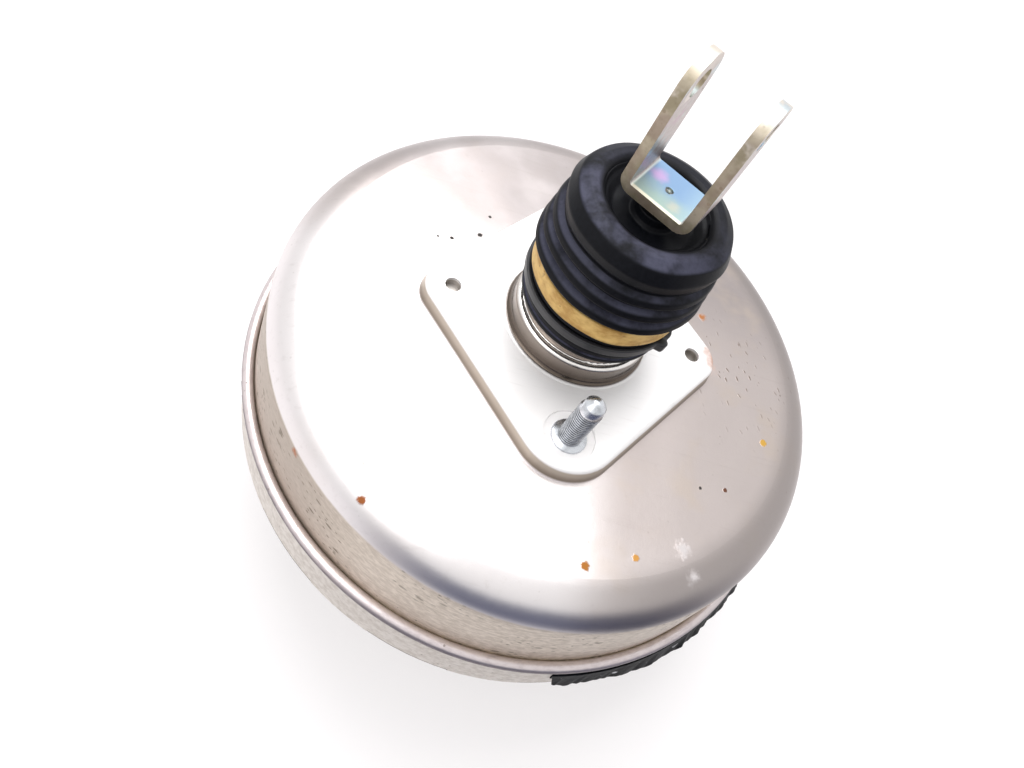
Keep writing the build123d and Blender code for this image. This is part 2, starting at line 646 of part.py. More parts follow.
# Forked stop key through the valve body's slot, astride the plunger's groove.
with BuildPart() as stop_key:
    fork_r = plunger_groove_r + key_fork_gap
    with BuildSketch(Plane.XY.offset(key_top_z)):
        with Locations(((key_reach - key_width / 2) / 2, 0)):
            Rectangle(key_reach + key_width / 2, key_width)
        fillet(vertices(), 1.5)
        Circle(fork_r, mode=Mode.SUBTRACT)
        with Locations((-key_width / 2, 0)):
            Rectangle(key_width, 2 * fork_r, mode=Mode.SUBTRACT)
    extrude(amount=-key_t)

stop_key.part.label = "stop_key"
export_step(stop_key.part, "parts/stop_key.step")

# Valve plunger: groove for the key, rim that meets the valve rubber, ball socket.
with BuildPart() as plunger:
    groove_low_z = key_top_z - key_t - rest_gap
    groove_high_z = key_top_z + rest_gap + input_travel
    rim_z = plunger_top_z - plunger_rim_t
    turned([(0, plunger_foot_z), (plunger_r, plunger_foot_z), (plunger_r, groove_low_z),
            (plunger_groove_r, groove_low_z), (plunger_groove_r, groove_high_z), (plunger_r, groove_high_z),
            (plunger_r, rim_z), (plunger_rim_r, rim_z), (plunger_rim_r, plunger_top_z), (0, plunger_top_z)])
    Sphere(ball_r + ball_gap, mode=Mode.SUBTRACT)
    turned([(0, 0), (ball_r - 0.6, 0), (ball_r - 0.6, 2.6), (ball_r + 1.2, plunger_top_z),
            (0, plunger_top_z)], mode=Mode.SUBTRACT)

plunger.part.label = "plunger"
export_step(plunger.part, "parts/plunger.step")

# ================================================================ control valve in the rear bore
with BuildPart() as valve_rubber:
    sleeve_in_r = poppet_sleeve_r - poppet_sleeve_t
    turned([(poppet_eye_r, poppet_z), (poppet_disc_r, poppet_z), (poppet_disc_r, poppet_z + poppet_disc_t),
            (poppet_sleeve_r, poppet_z + poppet_disc_t), (poppet_sleeve_r, poppet_rim_z),
            (valve_bore_r, poppet_rim_z), (valve_bore_r, keeper_z), (sleeve_in_r, keeper_z),
            (sleeve_in_r, poppet_z + poppet_disc_t), (poppet_eye_r, poppet_z + poppet_disc_t)])

valve_rubber.part.label = "valve_rubber"
export_step(valve_rubber.part, "parts/valve_rubber.step")

with BuildPart() as valve_keeper:
    turned([(keeper_eye_r, keeper_z), (valve_bore_r, keeper_z), (valve_bore_r, spring_floor_z),
            (keeper_eye_r, spring_floor_z)])

valve_keeper.part.label = "valve_keeper"
export_step(valve_keeper.part, "parts/valve_keeper.step")

with BuildPart() as rod_spring:
    coil(rod_spring_r, rod_spring_wire_r, spring_floor_z, rod_collar_z - rest_gap, rod_spring_turns)

rod_spring.part.label = "rod_spring"
export_step(rod_spring.part, "parts/rod_spring.step")

with BuildPart() as valve_spring:
    coil(poppet_spring_r, poppet_spring_wire_r, poppet_z + poppet_disc_t, rod_collar_z - rest_gap,
         poppet_spring_turns)

valve_spring.part.label = "valve_spring"
export_step(valve_spring.part, "parts/valve_spring.step")

# Felt silencer and foam air filter, pressed into the rear bore.
with BuildPart() as silencer:
    turned([(filter_eye_r, silencer_z), (valve_bore_r, silencer_z), (valve_bore_r, silencer_z + silencer_t),
            (filter_eye_r, silencer_z + silencer_t)])

silencer.part.label = "silencer"
export_step(silencer.part, "parts/silencer.step")

with BuildPart() as air_filter:
    filter_z = silencer_z + silencer_t
    turned([(filter_eye_r, filter_z), (valve_bore_r, filter_z), (valve_bore_r, filter_z + filter_t),
            (filter_eye_r, filter_z + filter_t)])

air_filter.part.label = "air_filter"
export_step(air_filter.part, "parts/air_filter.step")

# ================================================================ push rod and clevis
# Ball, slim neck, spring collar and shank; the end is riveted through the clevis floor.
with BuildPart() as push_rod:
    Sphere(ball_r)
    turned([(0, 0), (rod_neck_r, 0), (rod_neck_r, plunger_top_z), (rod_thin_r, plunger_top_z + 3),
            (rod_thin_r, rod_collar_z), (rod_collar_r, rod_collar_z),
            (rod_collar_r, rod_collar_z + rod_collar_t), (rod_r, rod_collar_z + rod_collar_t),
            (rod_r, clevis_foot_z), (rivet_r, clevis_foot_z), (rivet_r, clevis_floor_z), (0, clevis_floor_z)])
    with Locations((0, 0, clevis_floor_z)):
        Cone(0.4, 1.6, 1.2, align=(Align.CENTER, Align.CENTER, Align.MAX), mode=Mode.SUBTRACT)

push_rod.part.label = "push_rod"
export_step(push_rod.part, "parts/push_rod.step")

# Bent strap clevis with rounded ears and the pedal pin's holes.
with BuildPart() as clevis:
    across = meridian(clevis_angle)
    with BuildSketch(across):
        ear_top = clevis_pin_z + clevis_width / 2
        with Locations((0, clevis_foot_z)):
            Rectangle(2 * clevis_half, ear_top - clevis_foot_z, align=(Align.CENTER, Align.MIN))
        fillet(vertices().group_by(Axis.Y)[0], clevis_bend_r)
        with BuildSketch(mode=Mode.PRIVATE) as gap:
            with Locations((0, clevis_floor_z)):
                Rectangle(clevis_gap, ear_top, align=(Align.CENTER, Align.MIN))
            fillet(gap.vertices().group_by(Axis.Y)[0], clevis_inner_r)
        add(gap.sketch, mode=Mode.SUBTRACT)
    extrude(amount=clevis_width / 2, both=True)
    with BuildSketch(meridian(clevis_angle + 90)):
        with Locations((0, clevis_foot_z)):
            Rectangle(clevis_width, clevis_pin_z - clevis_foot_z, align=(Align.CENTER, Align.MIN))
        with Locations((0, clevis_pin_z)):
            Circle(clevis_width / 2)
    extrude(amount=clevis_half + 1, both=True, mode=Mode.INTERSECT)
    with BuildSketch(meridian(clevis_angle + 90)):
        with Locations((0, clevis_pin_z)):
            Circle(clevis_pin_r)
    extrude(amount=clevis_half + 1, both=True, mode=Mode.SUBTRACT)
    with BuildSketch(Plane.XY.offset(clevis_foot_z)):
        Circle(rivet_r)
    extrude(amount=clevis_t, mode=Mode.SUBTRACT)

clevis.part.label = "clevis"
export_step(clevis.part, "parts/clevis.step")

# ================================================================ dust boot
# A moulded bellows: collar on the neck, three folds, a fat top roll and a deep recess that
# closes on the push rod.
with BuildPart() as dust_boot:
    outer = []
    inner = []
    for k in range(fold_count):
        crest_z = first_crest_z + k * fold_pitch
        crest_r = fold_crest_r - k * fold_taper
        root_r = fold_root_r - k * fold_taper / 2
        outer += [(crest_r, crest_z), (root_r, crest_z + fold_pitch / 2)]
        inner += [(crest_r - boot_wall, crest_z), (root_r - boot_wall, crest_z + fold_pitch / 2)]
    recess_z = top_z - recess_depth
    band_top_z = band_z + band_h
    collar = [(boot_collar_r, boot_foot_z), (boot_collar_r, band_top_z)]
    roll = [(roll_r, roll_z), (roll_r - 0.6 * boot_wall, top_z - 1.1 * boot_wall),
            (recess_r + 1.5 * boot_wall, top_z), (recess_r, top_z - 0.2 * boot_wall),
            (recess_r - 1.2 * boot_wall, recess_z + 0.45 * recess_depth),
            (recess_r - 2.1 * boot_wall, recess_z), (rod_r + 1.8 * boot_wall, recess_z - 0.3 * boot_wall),
            (rod_r + 1.3 * boot_wall, recess_z + rod_lip_rise), (rod_r + rest_gap, recess_z + rod_lip_rise)]
    lip = [(rod_r + rest_gap, recess_z - rod_lip_h), (rod_r + boot_wall, recess_z - rod_lip_h),
           (rod_r + 1.4 * boot_wall, recess_z - 1.2 * boot_wall),
           (recess_r - 1.7 * boot_wall, recess_z - boot_wall)]
    under = [(recess_r - 0.2 * boot_wall, recess_z + 0.3 * recess_depth),
             (recess_r + boot_wall, top_z - 1.35 * boot_wall), (roll_r - 1.65 * boot_wall, top_z - 2 * boot_wall),
             (roll_r - 1.05 * boot_wall, roll_z)]
    foot = [(spigot_r, band_top_z - 1.5), (spigot_r, boot_foot_z)]
    outline = collar + outer + roll + lip + under + inner[::-1] + foot
    first = len(collar)
    rounds = [(i, 1.4) for i in range(first, first + len(outer) - 1)] + [(first + len(outer) - 1, 1.0)]
    rounds += [(first + len(outer), 3.0), (first + len(outer) + 1, 2.2), (first + len(outer) + 2, 1.2)]
    rounds += [(first + len(outer) + 4, 1.5), (first + len(outer) + 5, 1.5)]
    rounds += [(i, 0.8) for i in range(len(outline) - len(foot) - len(inner), len(outline) - len(foot))]
    turned(outline, rounds=rounds)

dust_boot.part.label = "dust_boot"
export_step(dust_boot.part, "parts/dust_boot.step")

# Wrapped band round the boot's collar.
with BuildPart() as boot_band:
    turned([(boot_collar_r, band_z), (boot_collar_r + band_t, band_z + 0.3),
            (boot_collar_r + band_t, band_z + band_h - 0.6), (boot_collar_r, band_z + band_h - 0.3)])

boot_band.part.label = "boot_band"
export_step(boot_band.part, "parts/boot_band.step")

# Tie strap with its ratchet head and the cut tail.
with BuildPart() as boot_strap:
    turned([(boot_collar_r, strap_z), (boot_collar_r + strap_t, strap_z),
            (boot_collar_r + strap_t, strap_z + strap_h), (boot_collar_r, strap_z + strap_h)])
    head = meridian(strap_head_angle)
    with BuildSketch(head):
        with Locations((boot_collar_r + strap_t + 1.8, strap_z + strap_h / 2)):
            Rectangle(4.4, strap_h + 2.2)
        fillet(vertices(), 0.6)
    extrude(amount=3.4, both=True)

boot_strap.part.label = "boot_strap"
export_step(boot_strap.part, "parts/boot_strap.step")

# ================================================================ vacuum connection
# Grommet, elbow check valve, its cap, disc and spring.
roof_z = front_face_z - grommet_outer_h - rest_gap
seat_z = roof_z - chamber_roof
floor_z = seat_z - chamber_h
with BuildPart() as port_grommet:
    inside_z = front_face_z + sheet + grommet_inner_h
    outside_z = front_face_z - grommet_outer_h
    with BuildSketch(Plane.XY.offset(outside_z)):
        with Locations((port_x, port_y)):
            Circle(grommet_flange_r)
    extrude(amount=grommet_outer_h)
    with BuildSketch(Plane.XY.offset(front_face_z)):
        with Locations((port_x, port_y)):
            Circle(port_hole_r)
    extrude(amount=sheet)
    with BuildSketch(Plane.XY.offset(front_face_z + sheet)):
        with Locations((port_x, port_y)):
            Circle(grommet_flange_r - 1.0)
    extrude(amount=grommet_inner_h)
    with BuildSketch(Plane.XY.offset(outside_z)):
        with Locations((port_x, port_y)):
            Circle(nose_r + sliding_gap)
    extrude(amount=inside_z - outside_z, mode=Mode.SUBTRACT)
    fillet(edges().filter_by(GeomType.CIRCLE).group_by(Axis.Z)[0].sort_by(SortBy.RADIUS)[-1], 1.0)

port_grommet.part.label = "port_grommet"
export_step(port_grommet.part, "parts/port_grommet.step")

with BuildPart() as check_valve:
    with BuildSketch(Plane.XY.offset(floor_z)):
        with Locations((port_x, port_y)):
            Circle(chamber_r + chamber_wall)
    extrude(amount=roof_z - floor_z)
    with BuildSketch(Plane.XY.offset(roof_z)):
        with Locations((port_x, port_y)):
            Circle(nose_r)
    extrude(amount=inside_z + 2.0 - roof_z)
    hose_z = floor_z + chamber_h / 2
    hose_axis = Plane(origin=(port_x, port_y, hose_z),
                      x_dir=(cos(radians(check_angle)), sin(radians(check_angle)), 0),
                      z_dir=(sin(radians(check_angle)), -cos(radians(check_angle)), 0))
    hose_start = chamber_r + chamber_wall + hose_root
    hose_end = chamber_r + chamber_wall + hose_length
    with BuildSketch(hose_axis):
        with BuildLine():
            Polyline((chamber_r + 0.6, 0), (chamber_r + 0.6, hose_root_r), (hose_start, hose_root_r),
                     (hose_start, hose_r), (hose_end - 1.0, hose_r),
                     (hose_end, hose_r - 0.9), (hose_end, 0), close=True)
        make_face()
    revolve(axis=Axis(hose_axis.origin, hose_axis.x_dir))
    with BuildSketch(Plane.XY.offset(floor_z)):
        with Locations((port_x, port_y)):
            Circle(chamber_r)
    extrude(amount=chamber_h, mode=Mode.SUBTRACT)
    with BuildSketch(Plane.XY.offset(seat_z)):
        with Locations((port_x, port_y)):
            Circle(nose_bore_r)
    extrude(amount=inside_z + 2.0 - seat_z, mode=Mode.SUBTRACT)
    with BuildSketch(hose_axis):
        with BuildLine():
            Polyline((0, 0), (0, hose_bore_r), (hose_end, hose_bore_r), (hose_end, 0), close=True)
        make_face()
    revolve(axis=Axis(hose_axis.origin, hose_axis.x_dir), mode=Mode.SUBTRACT)

check_valve.part.label = "check_valve"
export_step(check_valve.part, "parts/check_valve.step")

with BuildPart() as check_cap:
    with BuildSketch(Plane.XY.offset(floor_z)):
        with Locations((port_x, port_y)):
            Circle(chamber_r + chamber_wall)
    extrude(amount=-cap_h)
    fillet(edges().group_by(Axis.Z)[0], 1.2)

check_cap.part.label = "check_cap"
export_step(check_cap.part, "parts/check_cap.step")

with BuildPart() as check_disc:
    check_disc_z = seat_z - check_rest
    with BuildSketch(Plane.XY.offset(check_disc_z)):
        with Locations((port_x, port_y)):
            Circle(check_disc_r)
    extrude(amount=-check_disc_t)

check_disc.part.label = "check_disc"
export_step(check_disc.part, "parts/check_disc.step")

with BuildPart() as check_spring:
    coil(check_spring_r, check_wire_r, floor_z, check_disc_z - check_disc_t - rest_gap, check_turns,
         at=(port_x, port_y))

check_spring.part.label = "check_spring"
export_step(check_spring.part, "parts/check_spring.step")

# ================================================================ torn sealing film
# What is left of a black film round the rim: short strips of uneven depth, one sheet.
with BuildPart() as rim_film:
    film_step = (film_end - film_start) / film_steps
    film_top_z = crease_z - film_top
    r_top = bead_r - 0.1 * bead_out
    for k in range(film_steps):
        depth = film_drop * (0.72 + 0.2 * sin(2.3 * k) + 0.1 * sin(5.1 * k + 1))
        r_low = bead_r + film_flare + (film_end_flare - film_flare) * (k / film_steps) ** 2
        turned([(r_top, film_top_z), (r_top + film_t, film_top_z), (r_low + film_t, film_top_z - depth),
                (r_low, film_top_z - depth)], start=film_start + k * film_step, arc=film_step)

rim_film.part.label = "rim_film"
export_step(rim_film.part, "parts/rim_film.step")
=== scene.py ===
"""Vacuum brake booster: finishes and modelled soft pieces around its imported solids."""

import logging
import math
from dataclasses import dataclass, field
from enum import Enum
from typing import Callable, Dict, List, Optional, Sequence, Tuple, Union

import bpy
import numpy as np
from mathutils import Matrix, Vector


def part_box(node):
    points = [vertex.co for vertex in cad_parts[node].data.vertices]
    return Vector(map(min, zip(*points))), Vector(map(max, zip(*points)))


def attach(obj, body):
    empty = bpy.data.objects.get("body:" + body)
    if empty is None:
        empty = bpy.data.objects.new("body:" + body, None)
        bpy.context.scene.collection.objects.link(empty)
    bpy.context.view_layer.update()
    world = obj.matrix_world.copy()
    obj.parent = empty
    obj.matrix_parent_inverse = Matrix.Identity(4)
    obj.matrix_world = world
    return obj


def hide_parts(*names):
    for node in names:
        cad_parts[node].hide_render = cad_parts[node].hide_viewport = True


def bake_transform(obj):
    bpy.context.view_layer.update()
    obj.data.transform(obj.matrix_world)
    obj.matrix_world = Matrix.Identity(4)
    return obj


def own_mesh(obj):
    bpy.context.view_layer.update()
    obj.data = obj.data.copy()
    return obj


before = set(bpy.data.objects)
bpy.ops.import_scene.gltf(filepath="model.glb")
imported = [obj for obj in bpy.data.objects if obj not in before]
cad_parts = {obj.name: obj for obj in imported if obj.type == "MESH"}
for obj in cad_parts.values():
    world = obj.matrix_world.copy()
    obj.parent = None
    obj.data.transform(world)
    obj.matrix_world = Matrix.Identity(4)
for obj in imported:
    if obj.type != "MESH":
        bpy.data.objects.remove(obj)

MM = 0.001
Point = Tuple[float, float]
Triple = Tuple[float, float, float]
Colour = Tuple[float, float, float, float]
Shifted = Tuple[np.ndarray, np.ndarray]
Warp = Callable[[np.ndarray, np.ndarray, np.ndarray], Shifted]

BLACK: Colour = (0.0, 0.0, 0.0, 1.0)
SRGB_KNEE, SRGB_SLOPE = 0.04045, 12.92          # the straight part of a screen's tone curve
SRGB_LIFT, SRGB_SCALE, SRGB_POWER = 0.055, 1.055, 2.4  # and the curved part above it
POINT_LENGTH = 6.4     # mm from a stud's last thread to its tip
DIM_FADE = (0.35, 0.95)  # how squarely a direction faces the dim side, from none to full
SENSOR_WIDTH = 36.0    # mm
NEAREST_SEEN = 0.01    # metres from the camera
FILM_SEED = 41
FILM_TEETH, FILM_WAVES, FILM_EDGE_RUNS = 46, 11, 30    # uneven runs along the film's edges
FILM_CRUMPLES, FILM_FOLDS = 24, 70                     # and over its face

log = logging.getLogger("brake_booster")


class Body(Enum):
    """The moving bodies of the booster."""

    SHELL = "shell"
    PISTON = "power_piston"
    PLUNGER = "valve_plunger"
    ROD = "pedal_rod"
    ELBOW = "vacuum_elbow"


def paint(red: float, green: float, blue: float) -> Colour:
    """A colour as a painter mixes it, for the shader.

    Args:
        red: Red, 0 to 255, as it looks on a screen.
        green: Green, 0 to 255.
        blue: Blue, 0 to 255.

    Returns:
        The same colour in linear light, with full cover.
    """
    steps = [value / 255 for value in (red, green, blue)]
    linear = [s / SRGB_SLOPE if s <= SRGB_KNEE else ((s + SRGB_LIFT) / SRGB_SCALE) ** SRGB_POWER
              for s in steps]
    return (linear[0], linear[1], linear[2], 1.0)


# ------------------------------------------------------------------ shader arithmetic
class Sock:
    """An output of a finish's node sheet that takes part in sums."""

    def __init__(self, sheet: "FinishSheet", socket: bpy.types.NodeSocket) -> None:
        """Keep the sheet and the socket."""
        self.sheet = sheet
        self.socket = socket

    def __add__(self, other: "Number") -> "Sock":
        """Sum."""
        return self.sheet.sum("ADD", self, other)

    def __radd__(self, other: "Number") -> "Sock":
        """Sum, written the other way round."""
        return self.sheet.sum("ADD", other, self)

    def __sub__(self, other: "Number") -> "Sock":
        """Difference."""
        return self.sheet.sum("SUBTRACT", self, other)

    def __rsub__(self, other: "Number") -> "Sock":
        """Difference from a number."""
        return self.sheet.sum("SUBTRACT", other, self)

    def __mul__(self, other: "Number") -> "Sock":
        """Product."""
        return self.sheet.sum("MULTIPLY", self, other)

    def __rmul__(self, other: "Number") -> "Sock":
        """Product, written the other way round."""
        return self.sheet.sum("MULTIPLY", other, self)

    def __truediv__(self, other: "Number") -> "Sock":
        """Quotient."""
        return self.sheet.sum("DIVIDE", self, other)

    def __rtruediv__(self, other: "Number") -> "Sock":
        """Quotient of a number by this."""
        return self.sheet.sum("DIVIDE", other, self)

    def __pow__(self, other: "Number") -> "Sock":
        """Power."""
        return self.sheet.sum("POWER", self, other)

    def __rpow__(self, other: "Number") -> "Sock":
        """Power of a number."""
        return self.sheet.sum("POWER", other, self)

    def __mod__(self, other: "Number") -> "Sock":
        """Remainder that is never negative."""
        return self.sheet.sum("FLOORED_MODULO", self, other)

    def __rmod__(self, other: "Number") -> "Sock":
        """Remainder of a number."""
        return self.sheet.sum("FLOORED_MODULO", other, self)

    def __neg__(self) -> "Sock":
        """Negative."""
        return self.sheet.sum("MULTIPLY", self, -1.0)

    def __abs__(self) -> "Sock":
        """Size without sign."""
        return self.sheet.sum("ABSOLUTE", self)

    def over(self, limit: "Number") -> "Sock":
        """One where this is greater than the limit, else nought."""
        return self.sheet.sum("GREATER_THAN", self, limit)

    def under(self, limit: "Number") -> "Sock":
        """One where this is less than the limit, else nought."""
        return self.sheet.sum("LESS_THAN", self, limit)

    def smaller(self, other: "Number") -> "Sock":
        """The smaller of the two."""
        return self.sheet.sum("MINIMUM", self, other)

    def larger(self, other: "Number") -> "Sock":
        """The larger of the two."""
        return self.sheet.sum("MAXIMUM", self, other)

    def ease(self, start: float, end: float) -> "Sock":
        """Nought at start, one at end, smooth between.

        Args:
            start: The value that gives nought.
            end: The value that gives one, which may be below start.

        Returns:
            The eased share.
        """
        node = self.sheet.node("ShaderNodeMapRange", {"interpolation_type": "SMOOTHSTEP"},
                               {0: self, 1: start, 2: end})
        return Sock(self.sheet, node.outputs[0])

    def between(self, low: float, high: float, soft: float) -> "Sock":
        """One from low to high, fading out over soft beyond each.

        Args:
            low: Lower end of the full range.
            high: Upper end of the full range.
            soft: Width of each fade.

        Returns:
            The share.
        """
        return self.ease(low - soft, low) * self.ease(high + soft, high)


Number = Union[float, Sock]


@dataclass
class Place:
    """Where a point of the surface is, in millimetres of the row frame.

    Attributes:
        vector: All three coordinates.
        x: Towards the first plain hole.
        y: Towards the first bulkhead stud.
        z: Towards the pedal.
        radius: Distance from the push rod's line.
        turn: Angle about that line from -Y, in radians.
    """

    vector: Sock
    x: Sock
    y: Sock
    z: Sock
    radius: Sock
    turn: Sock


class FinishSheet:
    """The node tree of one material, written as plain arithmetic."""

    def __init__(self, name: str) -> None:
        """Start an empty material.

        Args:
            name: The material's name.
        """
        self.material = bpy.data.materials.new(name)
        self.material.use_nodes = True
        self.tree = self.material.node_tree
        self.tree.nodes.clear()

    def node(self, kind: str, settings: Optional[Dict[str, object]] = None,
             inputs: Optional[Dict[Union[int, str], object]] = None) -> bpy.types.Node:
        """Add one node: settings first, then socket values and links.

        Args:
            kind: The node's type.
            settings: Its properties.
            inputs: Values or outputs for its sockets, by name or number.

        Returns:
            The node.
        """
        made = self.tree.nodes.new(kind)
        for key, value in (settings or {}).items():
            setattr(made, key, value)
        for key, value in (inputs or {}).items():
            if isinstance(value, Sock):
                self.tree.links.new(value.socket, made.inputs[key])
            else:
                made.inputs[key].default_value = value
        return made

    def sum(self, operation: str, *terms: Number) -> Sock:
        """One step of arithmetic."""
        return Sock(self, self.node("ShaderNodeMath", {"operation": operation},
                                    dict(enumerate(terms))).outputs[0])

    def vector_sum(self, operation: str, *terms: Union[Sock, Triple]) -> Sock:
        """One step of vector arithmetic."""
        return Sock(self, self.node("ShaderNodeVectorMath", {"operation": operation},
                                    dict(enumerate(terms))).outputs[0])

    def vector(self, x: Number, y: Number, z: Number) -> Sock:
        """A vector from three numbers."""
        return Sock(self, self.node("ShaderNodeCombineXYZ", {}, {0: x, 1: y, 2: z}).outputs[0])

    def parts(self, vector: Sock) -> List[Sock]:
        """The three numbers of a vector."""
        return [Sock(self, s) for s in self.node("ShaderNodeSeparateXYZ", {}, {0: vector}).outputs]

    def place(self) -> Place:
        """Where the surface point is.

        Returns:
            Its coordinates, distance and angle.
        """
        metres = Sock(self, self.node("ShaderNodeTexCoord").outputs["Object"])
        millimetres = self.vector_sum("MULTIPLY", metres, (1 / MM, 1 / MM, 1 / MM))
        x, y, z = self.parts(millimetres)
        radius = (x * x + y * y) ** 0.5
        return Place(millimetres, x, y, z, radius, self.sum("ARCTAN2", x, -y))

    def facing(self) -> List[Sock]:
        """The three numbers of the surface's own direction."""
        return self.parts(Sock(self, self.node("ShaderNodeTexCoord").outputs["Normal"]))

    def noise(self, vector: Sock, size: float, detail: float = 3.0, roughness: float = 0.55,
              stretch: Triple = (1.0, 1.0, 1.0)) -> Sock:
        """Cloudy noise from nought to one.

        Args:
            vector: Where to read it, in mm.
            size: Size of a cloud, in mm.
            detail: How many finer layers it has.
            roughness: How strong they are.
            stretch: How much longer than size it is along each direction.

        Returns:
            The noise.
        """
        where = self.vector_sum("DIVIDE", vector, stretch)
        node = self.node("ShaderNodeTexNoise", {},
                         {"Vector": where, "Scale": 1 / size, "Detail": detail,
                                                    "Roughness": roughness})
        return Sock(self, node.outputs[0])

    def flecks(self, vector: Sock, cell: float, share: float, reach: float,
               stretch: Triple = (1.0, 1.0, 1.0)) -> Sock:
        """Separate small spots, one at most in each cell.

        Args:
            vector: Where to read them, in mm.
            cell: Distance between possible spots, in mm.
            share: Share of the cells that hold a spot.
            reach: Radius of a spot, as a share of the cell.
            stretch: How much longer a spot is along each direction.

        Returns:
            One inside a spot, nought outside.
        """
        where = self.vector_sum("DIVIDE", vector, stretch)
        node = self.node("ShaderNodeTexVoronoi", {"feature": "F1"},
                         {"Vector": where, "Scale": 1 / cell})
        near = Sock(self, node.outputs["Distance"]).ease(reach, reach * 0.55)
        chance = self.parts(Sock(self, node.outputs["Color"]))[0]
        return near * chance.under(share)

    def mix(self, share: Number, first: Union[Sock, Colour], second: Union[Sock, Colour]) -> Sock:
        """A colour between two.

        Args:
            share: How much of the second.
            first: The colour where share is nought.
            second: The colour where share is one.

        Returns:
            The mixed colour.
        """
        node = self.node("ShaderNodeMix", {"data_type": "RGBA"}, {0: share, 6: first, 7: second})
        return Sock(self, node.outputs[2])

    def near(self, spot: "Spot", place: Place) -> Sock:
        """One at a spot's centre, nought beyond its reach.

        Args:
            spot: The spot.
            place: The surface point.

        Returns:
            The share.
        """
        node = self.node("ShaderNodeVectorMath", {"operation": "DISTANCE"},
                         {0: place.vector, 1: (spot.x, spot.y, spot.z)})
        ragged = self.noise(place.vector, spot.reach * 0.6, 2.0) - 0.5
        return (Sock(self, node.outputs["Value"])
                + ragged * spot.reach * spot.ragged).ease(spot.reach, spot.reach * spot.core)

    def bump(self, height: Sock, under: Optional[Sock] = None) -> Sock:
        """A surface direction from a height.

        Args:
            height: Height in mm.
            under: A direction that this one is laid on.

        Returns:
            The direction.
        """
        inputs: Dict[Union[int, str], object] = {"Distance": MM, "Height": height}
        if under is not None:
            inputs["Normal"] = under
        return Sock(self, self.node("ShaderNodeBump", {}, inputs).outputs[0])

    def surface(self, inputs: Dict[Union[int, str], object]) -> bpy.types.Material:
        """Close the sheet with a plain surface.

        Args:
            inputs: Values and outputs for the surface's sockets.

        Returns:
            The finished material.
        """
        body = self.node("ShaderNodeBsdfPrincipled", {}, inputs)
        self.node("ShaderNodeOutputMaterial", {}, {"Surface": Sock(self, body.outputs[0])})
        return self.material


@dataclass(frozen=True)
class Spot:
    """A stain or fleck at a stated place.

    Attributes:
        x: Its place in mm.
        y: Its place in mm.
        z: Its place in mm.
        reach: Its radius in mm.
        colour: Its colour.
        ragged: How uneven its edge is.
        core: Share of the reach at which it is at full strength.
    """

    x: float
    y: float
    z: float
    reach: float
    colour: Colour
    ragged: float = 0.9
    core: float = 0.6


@dataclass(frozen=True)
class Finish:
    """A finish that makes its material once.

    Attributes:
        name: The material's name.
    """

    name: str

    def material(self) -> bpy.types.Material:
        """The finish's material, made at its first use."""
        return bpy.data.materials.get(self.name) or self.mix_up(FinishSheet(self.name))

    def mix_up(self, sheet: FinishSheet) -> bpy.types.Material:
        """Write the finish into a sheet."""
        raise NotImplementedError


# ------------------------------------------------------------------ metal finishes
RUST = paint(150, 84, 36)
RUST_DARK = paint(92, 52, 30)
SOOT = paint(46, 42, 40)


